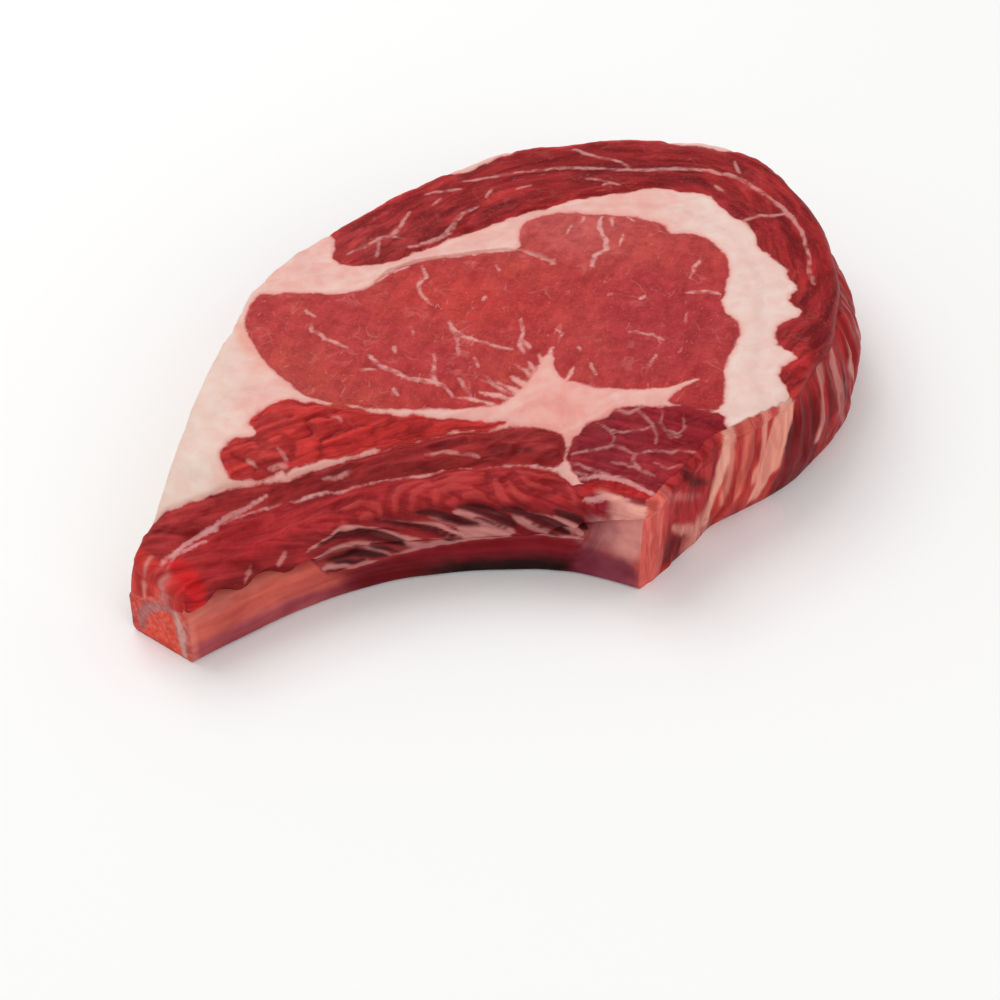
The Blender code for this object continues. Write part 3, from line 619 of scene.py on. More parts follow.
# Relief, in mm along the surface's own direction
print("meat: relief")
relief = 0.4 * (1.0 - np.exp(-np.clip(meatDepth, 0.0, 20.0) / 2.5)) * isTop
relief -= 0.35 * bell((meatDepth - 0.1) / 0.9) * isTop
relief += 0.25 * layered(place, 16.0, 21) * isTop
relief += 0.08 * layered(place, 3.0, 31) * isTop
relief += 0.5 * layered(place, 8.0, 33) * ease((7.0 - inset) / 4.0) * ease((atY + 20.0) / 10.0)
bands = np.max(np.stack([depths["upperBand"], depths["lowerBand"]]), axis=0)
inBands = ease((bands + 0.5) / 2.0) * isTop
slant = columns([(atX * 0.87 + atY * 0.49) / 4.5, atY * 0.87 - atX * 0.49, atZ * 0.3])
folds = 0.6 - np.abs(layered(slant + columns([wander, wander[:, :1]]) * 1.5, 2.8, 41, 2))
crest = bell(np.minimum(crestDepth, 0.0) / 0.55)
valley = bell((crestDepth + 1.5) / 0.9)
relief += inBands * (0.55 * folds + 0.3 * crest - 0.35 * valley)
relief -= 0.5 * bell((bands + 0.3) / 0.9) * isTop * ease((-38.0 - atY) / 6.0)
bentPlan = columns([plan @ (0.55, 0.3), plan @ (-0.45, 1.0), inset * 0.0])
clefts = bell(layered(bentPlan, 6.0, 51) / 0.2)
lumps = (0.45 - 1.7 * clefts + 0.5 * layered(place, 4.0, 53)) * ease((depths["tail"] + 0.5) / 2.0)
relief += 0.35 * lumps * isTop * ease((-40.0 - atX) / 10.0)
chineClefts = bell(layered(bentPlan, 5.0, 55) / 0.18)
chineFolds = (0.2 - 1.2 * chineClefts) * ease((depths["chine"] + 0.5) / 2.0)
relief += 0.35 * chineFolds * isTop
relief += 0.12 * bell(np.minimum(veinDepth, 0.0) / 0.6) * isTop
rightShare = ease((alongWall + 2.0) / 6.0) * ease((150.0 - alongWall) / 30.0) * (alongWall < 180.0)
strands = layered(columns([alongWall, atZ * 0.13, inset * 0.0]), 3.4, 61)
leftFat = (atX < -50.0) * (atY > -70.0)
relief += isWall * (0.85 * rightShare + 0.3 * (1.0 - rightShare) * ~leftFat * ~frontZone) * strands
relief += 0.3 * layered(place, 7.0, 71) * isWall
slitShare, streakShare = ease((slitDepth + 0.9) / 1.8), ease((streakDepth + 0.9) / 1.8)
relief += frontZone * (0.15 * streakShare - 0.45 * slitShare) * ease((chartHeight - 12.0) / 4.0)
relief *= np.where(isWall, ease(atZ / 2.5), 1.0) * ~isBelow * np.where(alongWall < 14.0, 0.3, 1.0)
relief *= 1.0 - 0.8 * ease((7.0 - tipOff) / 4.0) * (atX < -74.0)
moved = place + normals * relief[:, None]
moved[:, 2] = np.maximum(moved[:, 2], 0.0)
mesh.vertices.foreach_set("co", inMetres(moved))
mesh.update()
mesh.shade_smooth()


# Colours laid on the surface
print("meat: colours")
smallMuscle = [(5.0, [(18.6, -53.4), (23, -53.4), (28.9, -56), (35.0, -60.4)])]
fibreWay = columns([alongWall * 0.22, inset, inset * 0.0])
# Share of each muscle at every point, soft between two of them
weights = np.stack([np.exp(np.clip(depths[name], -12.0, 4.0) * 1.2) for name in muscles])
weights /= weights.sum(axis=0)


def ofMuscle(key):
    return weights.T @ np.array([muscle[key] for muscle in muscles.values()])


def tinted(base, *layers):
    # Colours laid over one another, each with its amount at every point
    for colour, amount in layers:
        amount = np.clip(amount, 0.0, 1.0)[:, None]
        base = base * (1.0 - amount) + np.array(colour) * amount
    return base


def near(x, y, reach, wide=1.0):
    return bell(np.hypot((atX - x) / wide, atY - y) / reach)


inEye = depths["eye"] > -2.0
inCap = depths["cap"] > -1.0
capLight, capDark = layered(fibreWay, 5.0, 155), layered(fibreWay, 4.2, 151)
tint = tinted(
    ofMuscle("tint"),
    ((0.56, 0.1, 0.095), 0.85 * near(20, 42, 13, 1.3) * inEye),
    ((0.53, 0.038, 0.032), 0.75 * near(-6, 12, 14, 2.0) * inEye),
    ((0.38, 0.026, 0.036), 0.7 * near(40, 2, 18, 1.2) * inEye),
    ((0.42, 0.028, 0.028), 0.6 * near(-48, -20, 12, 2.2) * inEye),
    ((0.5, 0.06, 0.045), 0.5 * ease(layered(place, 19.0, 141)) * inEye),
    ((0.4, 0.024, 0.032), 0.5 * ease(-layered(place, 15.0, 145)) * inEye),
    ((0.38, 0.02, 0.024), 0.8 * near(49, -27, 5) * inEye),
    ((0.16, 0.005, 0.008), 0.8 * ease(capDark + 0.2) * bell((depths["cap"] - 6.0) / 6.0) * inCap),
    ((0.47, 0.022, 0.02), 0.5 * ease(-capLight - 0.1) * inCap),
    ((0.19, 0.002, 0.004), 0.8 * near(28, 75, 9, 4.0) * inCap),
    ((0.24, 0.003, 0.006), 0.6 * near(84, 30, 22, 0.6) * inCap),
    ((0.4, 0.035, 0.036), 0.6 * near(-38, 38, 9, 1.5) * inCap),
    # painted highlight: brighter red along the cap's rounded rim
    ((0.56, 0.035, 0.03), 0.85 * ease((4.6 - inset) / 2.4) * isTop * inCap),
    ((0.5, 0.02, 0.02), 0.7 * near(74, -15, 6)),
    ((0.44, 0.008, 0.01), 0.95 * ease(strokeDepth(plan, smallMuscle) / 1.2 + 0.6)),
    ((0.17, 0.005, 0.007), 0.7 * bell((depths["upperBand"] - 2.0) / 1.6) * (atX > -60.0)),
    ((0.44, 0.017, 0.018), 0.7 * near(47, -52, 6)),
    ((0.22, 0.003, 0.007), 0.5 * near(-54, -55, 4, 3.0)),
    ((0.28, 0.003, 0.007), 0.7 * near(6, -52, 4, 2.0)),
    ((0.3, 0.006, 0.012), 0.6 * near(-66, -72, 7, 2.0)),
    ((0.46, 0.045, 0.04), 0.5 * near(-63, -49, 7)))
pinkLine = strokeDepth(plan + wander, [(3.2, [(-73.3, 4.2), (-70.2, -6.4), (-64.9, -14.4), (-58.8, -20.4)])])
chalk = layered(bentPlan * np.array([0.6, 2.0, 1.0]), 9.0, 161)
fatTint = tinted(
    np.array([0.8, 0.45, 0.4]),
    ((0.765, 0.61, 0.52), ease((-64.0 - atX) / 15.0)),
    ((0.8, 0.59, 0.53), 0.9 * ease((atX - 40.0) / 16.0)),
    ((0.8, 0.33, 0.29), near(12, -30, 12, 1.6)),
    ((0.62, 0.33, 0.32), inSeam),
    ((0.8, 0.38, 0.3), 0.9 * ease((pinkLine + 1.0) / 2.0)),
    ((0.84, 0.68, 0.6), 0.3 * ease(chalk * 2.0)))

# Painted places on the wall
paint = np.zeros((len(place), 4))


def paintOver(*layers):
    for colour, amount in layers:
        amount = np.clip(amount, 0.0, 1.0)
        kept = paint[:, 3] * (1.0 - amount)
        paint[:, :3] = paint[:, :3] * kept[:, None] + np.array(colour) * amount[:, None]
        paint[:, 3] = kept + amount
        paint[:, :3] /= np.maximum(paint[:, 3:4], 1e-6)


def bothSides(value, low, high, soft):
    # 1 between low and high, with soft ends
    return ease((value - low) / soft + 0.5) * ease((high - value) / soft + 0.5)


# Right wall, by distance along it and height
s, z = alongWall + wander[:, 0] * 1.5, atZ + wander[:, 1] * 1.5
paintOver(
    ((0.36, 0.015, 0.017), 0.9 * rightZone * ease((s - 52.0) / 8.0)),
    ((0.16, 0.001, 0.003), 0.95 * rightZone * bothSides(s, 50.0, 68.0, 5.0) * ease((30.0 - z) / 6.0)),
    ((0.48, 0.035, 0.03), 0.95 * rightZone * bothSides(s, 29.0, 50.0, 3.0)),
    ((0.4, 0.022, 0.024), 0.95 * rightZone * ease((29.0 - s) / 4.0)),
    ((0.55, 0.17, 0.145), 0.9 * rightZone * bothSides(s, 16.5, 29.0, 4.0) * ease((13.0 - z) / 4.0)),
    ((0.14, 0.004, 0.005), 0.9 * rightZone * bell(np.hypot((s - 12.5) / 5.6, (z - 7.0) / 6.0) ** 2)),
    ((0.68, 0.12, 0.095), 0.95 * rightZone * ease((9.0 - s) / 4.0)))
for width, colour, line in wallStripes:
    stripe = strokeDepth(sideChart + wander * 1.4, [(width, line)], 1.2)
    paintOver((colour, 0.95 * rightZone * ease(stripe / 1.2 + 0.5)))

# Front, by x and height; its dark base is partly the meat's own colour and partly painted shade of a wall
# turned away from the light
x, z = frontChart[:, 0] + wander[:, 0], frontChart[:, 1] + wander[:, 1]
paintOver(
    # dark base: partly the meat's colour, partly painted shade
    ((0.25, 0.01, 0.014), frontZone * 0.9 * ease((25.0 - z) / 2.0) * bothSides(x, -51.0, 20.0, 4.0)),
    ((0.22, 0.007, 0.011), frontZone * 0.7 * ease((26.0 - z) / 4.0) * ease((-51.0 - x) / 3.0)),
    ((0.42, 0.17, 0.16), frontZone * 0.9 * ease((x - 18.0) / 4.0) * ease((22.0 - z) / 3.0)),
    ((0.7, 0.28, 0.24), frontZone * 0.95 * ease((x - 23.5) / 4.0) * ease((29.5 - z) / 2.0)),
    ((0.82, 0.36, 0.29), frontZone * 0.9 * ease((x - 20.0) / 4.0) * bell((z - 28.6) / 0.9)))
slitDepth -= 4.0 * ease((x - 18.0) / 3.0)

# Tip, and the fat left on the back
tipRim = isTop * ease((4.2 - tipOff) / 1.6) * ease((-79.0 - atX) / 2.0)
tipMarks = tipAlong + wander[:, 0] * 2.0 + ripple[:, 0] * 2.0
wedge = strokeDepth(plan + wander * 0.8, [(6.0, [(-83.2, -79.0), (-79.2, -82.6), (-74.6, -88.2)])])
backFat = isWall & ~rightZone & ~frontZone & ~tipZone & (depths["cap"] > 0.0)
patches = layered(columns([alongWall * 0.45, atZ * 1.2, inset * 0.0]), 15.0, 77, 4)
patches += 0.15 * layered(place, 3.0, 79) + 0.05
paintOver(
    ((0.62, 0.033, 0.025), 0.95 * tipZone),
    ((0.55, 0.03, 0.025), 0.9 * tipRim),
    ((0.6, 0.21, 0.19), 0.8 * tipRim * (bell((tipMarks - 11.0) / 1.5) + bell((tipMarks - 5.5) / 0.6))),
    ((0.62, 0.23, 0.2), 0.8 * tipZone * bell((tipMarks - 5.5) / 0.9) * bothSides(atZ, 14.0, 20.0, 2.0)),
    ((0.58, 0.18, 0.16), 0.8 * tipZone * bell((tipMarks - 12.5) / 2.0) * ease((atZ - 14.0) / 3.0)),
    ((0.54, 0.006, 0.008), 0.92 * ease((wedge + 1.6) / 3.6) * (atZ > 15.0) * ~tipZone),
    ((0.6, 0.19, 0.165), 0.62 * backFat * ease(patches / 1.1)))

# Which way the fibres run, as a chart of each place: along, across, third
grain = np.radians(ofMuscle("grain"))
fibre = columns([atX * np.cos(grain) + atY * np.sin(grain),
                         atY * np.cos(grain) - atX * np.sin(grain), atZ])
behindFront = atY - np.interp(atX, *np.array(frontRows).T[:2])
for names, way in ((["cap"], [alongWall, inset]),
                   (["upperBand", "lowerBand"], [atX * 1.1, behindFront * 0.9])):
    part = (weights.T @ np.array([name in names for name in muscles]))[:, None]
    fibre = fibre * (1.0 - part) + columns(way + [inset * 0.0]) * part
fibre = np.where(isWall[:, None], columns([atZ, alongWall, inset * 0.0]), fibre)
slope = columns([frontChart @ (0.9, -0.43), frontChart @ (0.43, 0.9), inset * 0.0])
fibre = np.where((frontZone & (atX < 22.0))[:, None], slope, fibre)
# Relief of the bands' folds, the tail's lumps and the chine's folds, kept for the painted shade in their
# clefts and the painted highlight on their tops
lump = 0.9 * inBands * (folds * 1.3 - 1.1 * valley - 0.1) + lumps + chineFolds
meatDepth = np.where(frontZone | (rightZone & isWall) | tipZone, 6.0, meatDepth)


def addValue(mesh, name, values):
    values = np.ascontiguousarray(values, np.float32)
    kind = {1: "FLOAT", 2: "FLOAT_VECTOR"}[values.ndim]
    layer = mesh.attributes.new(name, kind, "POINT")
    layer.data.foreach_set("value" if values.ndim == 1 else "vector", values.ravel())


for name, values in dict(
        meatDepth=meatDepth, veinDepth=np.where(isWall, far, veinDepth),
        seamDepth=np.where(isTop, seamDepth, far), membraneDepth=np.where(isTop, membraneDepth, far),
        crest=crest * inBands, marbling=ofMuscle("marbling") * np.where(isWall, 0.4, 1.0),
        strands=ofMuscle("strands"), lump=lump * ofMuscle("lumps"), streak=streakDepth, slit=slitDepth,
        fibre=fibre, tint=tint, fatTint=fatTint, paint=paint[:, :3], painted=paint[:, 3],
        pale=np.clip((paint[:, 1] - 0.08) / 0.16, 0.0, 1.0)).items():
    addValue(mesh, name, values)


def readFaces(mesh):
    # Vertex of each face corner, and each face's first corner and number of corners
    loops = np.zeros(len(mesh.loops), int)
    starts, totals = np.zeros((2, len(mesh.polygons)), int)
    mesh.loops.foreach_get("vertex_index", loops)
    mesh.polygons.foreach_get("loop_start", starts)
    mesh.polygons.foreach_get("loop_total", totals)
    return loops, starts, totals


def unrollTurn(turns, starts, totals):
    # A face that crosses the start of a turn runs on past 1
    spread = np.maximum.reduceat(turns, starts) - np.minimum.reduceat(turns, starts)
    return np.where(np.repeat(spread > 0.5, totals) & (turns < 0.5), turns + 1.0, turns)


def addMap(mesh, u, v):
    layer = mesh.uv_layers.new(name="OFBake")
    layer.data.foreach_set("uv", columns([u, v]).astype(np.float32).ravel())


def layMeatMap(mesh):
    # Top large, underside below it, the wall as two upright strips
    loops, starts, totals = readFaces(mesh)
    low, high = plan.min(axis=0), plan.max(axis=0)
    across, up = ((plan[loops] - low) / (high - low)).T
    onTop = np.repeat(np.logical_and.reduceat(isTop[loops], starts), totals)
    onBelow = np.repeat(np.logical_and.reduceat(isBelow[loops], starts), totals)
    s = unrollTurn(np.mod((loopPlace[loops] - unrolled[0]) / len(wallLoop), 1.0), starts, totals)
    second = np.repeat(np.add.reduceat(s, starts) / totals > 0.5, totals)
    down = np.clip(-grid[loops, 2], 0.0, 1.04)
    u = np.where(second, 0.886, 0.768) + down * 0.1
    v = 0.01 + 0.97 * np.clip(np.where(second, s - 0.5, s) * 2.0, 0.0, 1.01)
    u = np.where(onTop | onBelow, 0.008 + 0.745 * across, u)
    v = np.where(onTop, 0.295 + 0.697 * up, np.where(onBelow, 0.008 + 0.275 * up, v))
    addMap(mesh, u, v)


layMeatMap(mesh)


# Materials
def addNode(tree, kind, inputs=None, **settings):
    made = tree.nodes.new(kind)
    for name, value in settings.items():
        setattr(made, name, value)
    for name, value in (inputs or {}).items():
        if isinstance(value, bpy.types.NodeSocket):
            tree.links.new(value, made.inputs[name])
        else:
            made.inputs[name].default_value = value
    return made


def reckon(tree, operation, first, second=0.0):
    return addNode(tree, "ShaderNodeMath", {0: first, 1: second}, operation=operation).outputs[0]


def times(tree, *values):
    total = values[0]
    for value in values[1:]:
        total = reckon(tree, "MULTIPLY", total, value)
    return total


def ramp(tree, source, low, high, *factors):
    # Soft step from 0 at low to 1 at high, times the factors
    step = addNode(tree, "ShaderNodeMapRange", {"Value": source, "From Min": low, "From Max": high},
                   interpolation_type="SMOOTHSTEP").outputs["Result"]
    return times(tree, step, *factors)


def mix(tree, amount, first, second, way="MIX"):
    made = addNode(tree, "ShaderNodeMix", data_type="RGBA", blend_type=way)
    for socket, item in ((made.inputs[0], amount), (made.inputs[6], first), (made.inputs[7], second)):
        if isinstance(item, bpy.types.NodeSocket):
            tree.links.new(item, socket)
        else:
            socket.default_value = (*item, 1.0) if isinstance(item, tuple) else item
    return made.outputs[2]


def coated(tree, base, *layers):
    # Colours mixed over a base one after another, each with its amount
    for amount, colour in layers:
        base = mix(tree, amount, base, colour)
    return base


def cloud(tree, vector, scale, detail=2.0, distortion=0.0, stretch=None):
    if stretch is not None:
        scaled = addNode(tree, "ShaderNodeVectorMath", {0: vector, 1: stretch}, operation="MULTIPLY")
        vector = scaled.outputs[0]
    return addNode(tree, "ShaderNodeTexNoise", {"Vector": vector, "Scale": scale, "Detail": detail,
                                                "Distortion": distortion}).outputs["Fac"]


def attribute(tree, name, output="Fac"):
    return addNode(tree, "ShaderNodeAttribute", attribute_name=name).outputs[output]


def centred(tree, source, size):
    return reckon(tree, "MULTIPLY", reckon(tree, "SUBTRACT", source, 0.5), size)


def uneven(tree, name, source, size):
    # A distance carried by the mesh, roughened by a noise
    return reckon(tree, "ADD", attribute(tree, name), centred(tree, source, size))


def silverskin(tree, base, strand):
    # Pale streaks of skin, and painted shade in the slits between them, drawn over a colour
    streak = ramp(tree, uneven(tree, "streak", strand, 2.2), -0.5, 0.6, 0.92)
    slit = ramp(tree, uneven(tree, "slit", strand, 1.6), -0.5, 0.8, 0.95)
    # the slits' near-black colour is painted shade
    return coated(tree, base, (streak, (0.52, 0.2, 0.185)), (slit, (0.04, 0.001, 0.003))), streak, slit


def startMaterial(name):
    material = bpy.data.materials.new(name)
    material.use_nodes = True
    tree = material.node_tree
    spot = addNode(tree, "ShaderNodeTexCoord").outputs["Object"]
    return material, tree, spot, attribute(tree, "fibre", "Vector")


def finishMaterial(tree, surface, rough, height, piece):
    shader = tree.nodes["Principled BSDF"]
    shader.inputs["Specular IOR Level"].default_value = piece["specular"]
    shader.inputs["Subsurface Weight"].default_value = piece["scatter"]
    shader.inputs["Subsurface Radius"].default_value = piece["scatterRadius"]
    shader.inputs["Subsurface Scale"].default_value = piece["scatterDepth"]
    bump = addNode(tree, "ShaderNodeBump", {"Height": height, "Strength": piece["bump"],
                                            "Distance": piece["bumpDepth"]})
    for name, value in {"Base Color": surface, "Roughness": rough, "Normal": bump.outputs["Normal"]}.items():
        tree.links.new(value, shader.inputs[name])


def meatMaterial():
    material, tree, spot, fibre = startMaterial("rawMeat")
    broad = cloud(tree, spot, 55.0, 2.0)
    middle = cloud(tree, spot, 230.0, 4.0, 0.4)
    fine = cloud(tree, spot, 900.0, 2.0)
    grit = cloud(tree, spot, 1700.0, 1.0)
    strand = cloud(tree, fibre, 1.0, 4.0, 0.7, (0.07, 0.38, 0.3))
    thread = cloud(tree, fibre, 1.0, 3.0, 0.3, (0.2, 1.5, 1.0))
    fleck = cloud(tree, fibre, 1.0, 2.5, 0.9, (0.24, 0.6, 0.3))

    # Lean, with its strands and specks, painted shade in the clefts between lumps and folds and a painted
    # highlight on their tops
    tint = attribute(tree, "tint", "Vector")
    strands = attribute(tree, "strands")
    dark = mix(tree, 1.0, tint, (0.56, 0.36, 0.42), "MULTIPLY")
    light = mix(tree, 0.015, mix(tree, 1.0, tint, (1.42, 1.75, 1.6), "MULTIPLY"), (0.8, 0.4, 0.38))
    soft = reckon(tree, "ADD", ramp(tree, middle, 0.25, 0.75, 0.44), 0.26)
    along = ramp(tree, strand, 0.3, 0.72)
    shade = addNode(tree, "ShaderNodeMix", {0: strands, 2: soft, 3: along}).outputs[0]
    lump = attribute(tree, "lump")
    marbling = attribute(tree, "marbling")
    speck = reckon(tree, "ADD", times(tree, marbling, 0.3), 0.06)
    fleckEdge = reckon(tree, "ADD", fleck, centred(tree, fine, 0.14))
    ridge = reckon(tree, "SUBTRACT", cloud(tree, spot, 140.0, 2.0, 0.9), 0.5)
    broken = ramp(tree, cloud(tree, spot, 110.0, 2.0), 0.5, 0.66)
    crest = ramp(tree, attribute(tree, "crest"), 0.25, 1.0)
    lean = coated(
        tree, mix(tree, shade, dark, light),
        # painted shade in the clefts, then a painted highlight on the tops of the lumps
        (ramp(tree, lump, 0.0, -1.1, 0.5), (0.15, 0.005, 0.007)),
        (ramp(tree, lump, 0.1, 1.0, 0.4), (0.52, 0.04, 0.034)),
        (ramp(tree, grit, 0.58, 0.78, marbling, 0.26), (0.7, 0.25, 0.23)),
        (ramp(tree, fine, 0.45, 0.25, 0.3), (0.2, 0.008, 0.012)),
        (ramp(tree, fine, 0.55, 0.75, speck), (0.58, 0.085, 0.075)),
        (ramp(tree, thread, 0.56, 0.8, strands, 0.22), (0.6, 0.12, 0.11)),
        # painted shade: near-black lines in the grooves between fibre bundles
        (ramp(tree, thread, 0.44, 0.2, strands, 0.35), (0.1, 0.003, 0.006)),
        (ramp(tree, fleckEdge, 0.655, 0.75, marbling, 0.5), (0.7, 0.24, 0.22)),
        (ramp(tree, reckon(tree, "ABSOLUTE", ridge), 0.05, 0.0, broken, marbling, 0.36), (0.66, 0.2, 0.18)),
        # painted highlight along the crests of the lower band's folds
        (ramp(tree, middle, 0.2, 0.6, crest, 0.5), (0.52, 0.065, 0.055)))

    # Fat
    fatTint = attribute(tree, "fatTint", "Vector")
    fat = coated(
        tree, mix(tree, ramp(tree, middle, 0.3, 0.7), mix(tree, 1.0, fatTint, (0.985, 0.9, 0.88), "MULTIPLY"),
                  mix(tree, 0.16, fatTint, (0.88, 0.74, 0.64))),
        (ramp(tree, broad, 0.5, 0.7, 0.25), (0.82, 0.44, 0.38)),
        (ramp(tree, fleck, 0.62, 0.74, 0.22), (0.82, 0.4, 0.34)))

    # Where the lean ends, in mm, with a ragged edge, and the lines over both
    ragged = reckon(tree, "ADD", uneven(tree, "meatDepth", middle, 1.9), centred(tree, fine, 0.6))
    fat = mix(tree, ramp(tree, ragged, -1.9, -0.2, 0.5), fat, (0.78, 0.29, 0.26))
    isLean = ramp(tree, ragged, -0.75, 0.2)
    patchy = reckon(tree, "ADD", ramp(tree, cloud(tree, spot, 330.0, 3.0), 0.32, 0.58, 0.7), 0.16)
    fatty = reckon(tree, "ADD", times(tree, marbling, 0.55), 0.5)
    surface = coated(
        tree, mix(tree, isLean, fat, lean),
        (ramp(tree, uneven(tree, "veinDepth", fine, 0.5), -0.6, 0.2, isLean, patchy, fatty),
         (0.76, 0.37, 0.34)),
        (ramp(tree, uneven(tree, "seamDepth", fine, 1.0), -0.5, 0.22, 0.75), (0.68, 0.31, 0.3)),
        (ramp(tree, uneven(tree, "membraneDepth", fine, 0.8), -0.5, 0.3, 0.62), (0.48, 0.17, 0.14)))

    # Painted wall
    paint, streak, slit = silverskin(tree, attribute(tree, "paint", "Vector"), strand)
    pale = reckon(tree, "MAXIMUM", attribute(tree, "pale"), reckon(tree, "SUBTRACT", streak, slit))
    paintDark = mix(tree, 1.0, paint, (0.66, 0.5, 0.54), "MULTIPLY")
    paintLight = mix(tree, 0.02, mix(tree, 1.0, paint, (1.28, 1.45, 1.4), "MULTIPLY"), (0.8, 0.42, 0.38))
    firm = reckon(tree, "SUBTRACT", 1.0, times(tree, pale, 0.75))
    painted = coated(
        tree, mix(tree, along, mix(tree, firm, paint, paintDark), paintLight),
        (ramp(tree, thread, 0.56, 0.8, 0.14), (0.6, 0.13, 0.11)),
        # painted shade: near-black lines in the grooves between fibre bundles
        (ramp(tree, thread, 0.44, 0.2, firm, 0.35), (0.14, 0.005, 0.007)))
    surface = mix(tree, attribute(tree, "painted"), surface, painted)
    rough = reckon(tree, "ADD", times(tree, middle, 0.35), 0.26)
    height = reckon(tree, "ADD", times(tree, strand, strands, 0.6), times(tree, thread, 0.35))
    finishMaterial(tree, surface, rough, reckon(tree, "ADD", height, times(tree, fine, 0.4)), meat)
    return material


steakMeat = link(bpy.data.objects.new("steakMeat", mesh))
mesh.materials.append(meatMaterial())
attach(steakMeat, "root")
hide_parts("fat", "ribeye_muscle", "cap_muscle", "tail_muscle", "upper_intercostal_muscle",
            "lower_intercostal_muscle", "chine_muscle")
print("meat: done", len(mesh.polygons))


# Rib bone: sections along the front foot, under a skin of membrane, sawn off at both ends
rib = dict(sections=260, around=120, endRings=14, corner=4.0, foot=1.5,
           specular=0.075, scatter=0.06, scatterRadius=(1.0, 0.4, 0.3), scatterDepth=0.0012,
           bump=0.4, bumpDepth=0.0003)
ribRows = [
    (-78.0, -89.6, 19.0, 15.0, 20.5, 16.0), (-70.5, -83.9, 16.5, 15.5, 18.0, 0.0),
    (-57.0, -74.0, 15.0, 15.0, 16.5, 0.0), (-44.0, -66.5, 13.5, 13.5, 15.0, 0.0),
    (-28.0, -60.0, 12.0, 12.5, 14.0, 0.0), (-9.0, -57.0, 11.0, 12.5, 14.0, 0.0),
    (7.0, -56.4, 12.0, 13.0, 14.0, 0.0), (17.0, -57.5, 16.5, 15.0, 14.0, -4.0),
    (26.0, -60.5, 23.0, 18.0, 13.5, -12.0), (33.0, -63.3, 27.0, 21.0, 13.0, -22.0),
]  # x and y of the front foot, front height, back height, depth, turn
corticalArch = [(3.4, [(3.2, 2.5), (4.4, 8.0), (7.0, 12.0), (10.5, 14.4), (14.4, 15.6)]),
                (3.6, [(12.8, 16.0), (16.2, 15.2), (17.4, 10.0), (17.6, -1.0)])]  # hard bone at the tip


def ribTopology():
    bm = bmesh.new()
    bmesh.ops.create_circle(bm, cap_ends=False, segments=rib["around"], radius=1.0)
    ring = list(bm.edges)
    last = drawOut(bm, ring, range(1, rib["sections"] + rib["endRings"]))
    first = drawOut(bm, ring, range(-1, -rib["endRings"] - 1, -1))
    bmesh.ops.holes_fill(bm, edges=first + last, sides=0)
    return toMesh(bm, "ribBone")


def ribSection(front, back, depth):
    corner, foot = rib["corner"], rib["foot"]
    points = []
    for across, height, radius, start in ((foot, foot, foot, 180.0), (depth - foot, foot, foot, 270.0),
                                          (depth - corner, back - corner, corner, 0.0),
                                          (corner, front - corner, corner, 90.0)):
        for k in range(9):
            angle = math.radians(start + 90.0 * k / 8.0)
            points.append((across + radius * math.cos(angle), height + radius * math.sin(angle)))
    points = np.array(points + points[:1])
    along = np.concatenate([[0.0], np.cumsum(np.hypot(*np.diff(points, axis=0).T))])
    wanted = np.arange(rib["around"]) * along[-1] / rib["around"]
    return columns([np.interp(wanted, along, points[:, k]) for k in (0, 1)])


print("rib")
ribMesh = ribTopology()
marker = readVector(ribMesh, "co")
rows = np.array(ribRows)
at = np.linspace(0.0, len(rows) - 1.0, rib["sections"])
line = columns([np.interp(at, np.arange(len(rows)), rows[:, k]) for k in range(6)])
padded = np.vstack([2.0 * line[:1] - line[8:0:-1], line, 2.0 * line[-1:] - line[-2:-10:-1]])
line = columns([np.convolve(padded[:, k], np.ones(17) / 17.0, mode="valid") for k in range(6)])
way = np.gradient(line[:, :2], axis=0)
turned = np.arctan2(way[:, 1], way[:, 0]) + np.radians(90.0 + line[:, 5])
sections = np.stack([ribSection(*row[2:5]) for row in line])
ringIndex = np.clip(np.round(marker[:, 2]).astype(int), 0, rib["sections"] - 1)
turns = np.arctan2(marker[:, 1], marker[:, 0]) / (2.0 * math.pi)
aroundIndex = np.round(turns * rib["around"]).astype(int) % rib["around"]
beyond = np.where(marker[:, 2] < 0.0, -marker[:, 2], np.maximum(marker[:, 2] - rib["sections"] + 1.0, 0.0))
beyond = beyond / (rib["endRings"] + 1.0)
section = sections[ringIndex, aroundIndex]
middle = sections.mean(axis=1)[ringIndex]
chart = section + (middle - section) * beyond[:, None]  # distance behind the front, height
ribPlace = columns([line[ringIndex, 0] + np.cos(turned[ringIndex]) * chart[:, 0],
                            line[ringIndex, 1] + np.sin(turned[ringIndex]) * chart[:, 0], chart[:, 1]])
ribMesh.vertices.foreach_set("co", inMetres(ribPlace))
turnOutward(ribMesh)
onCut = beyond > 0.0
atTip = ringIndex == 0
ribWander = columns([layered(ribPlace, 5.0, 101), layered(ribPlace, 5.0, 111)])
ribRelief = 0.3 * layered(ribPlace * np.array([0.4, 0.4, 1.0]), 5.0, 91) + 0.08 * layered(ribPlace, 1.6, 95)
tipChart = columns([20.5 - chart[:, 0], chart[:, 1]])
arch = strokeDepth(tipChart + ribWander * 0.4, corticalArch)
cutRelief = atTip * (0.12 * layered(ribPlace, 1.8, 97) + 0.2 * ease(arch + 0.5))
ribRelief = np.where(onCut, cutRelief, ribRelief)
nearEnd = (ringIndex > rib["sections"] - 8) | (~onCut & (ringIndex < 8))
ribRelief = np.where(nearEnd, 0.3 * ribRelief, ribRelief)
ribPlace = ribPlace + readVector(ribMesh, "normal") * (ribRelief * ease(ribPlace[:, 2] / 2.0))[:, None]
ribPlace[:, 2] = np.maximum(ribPlace[:, 2], 0.0)
ribMesh.vertices.foreach_set("co", inMetres(ribPlace))
ribMesh.update()
ribMesh.shade_smooth()
ends = np.zeros(len(ribMesh.edges) * 2, int)
ribMesh.edges.foreach_get("vertices", ends)
lastRing = (marker[:, 2] == rib["sections"] - 1)[ends].reshape(-1, 2).all(axis=1)
ribMesh.attributes.new("sharp_edge", "BOOLEAN", "EDGE").data.foreach_set("value", lastRing)
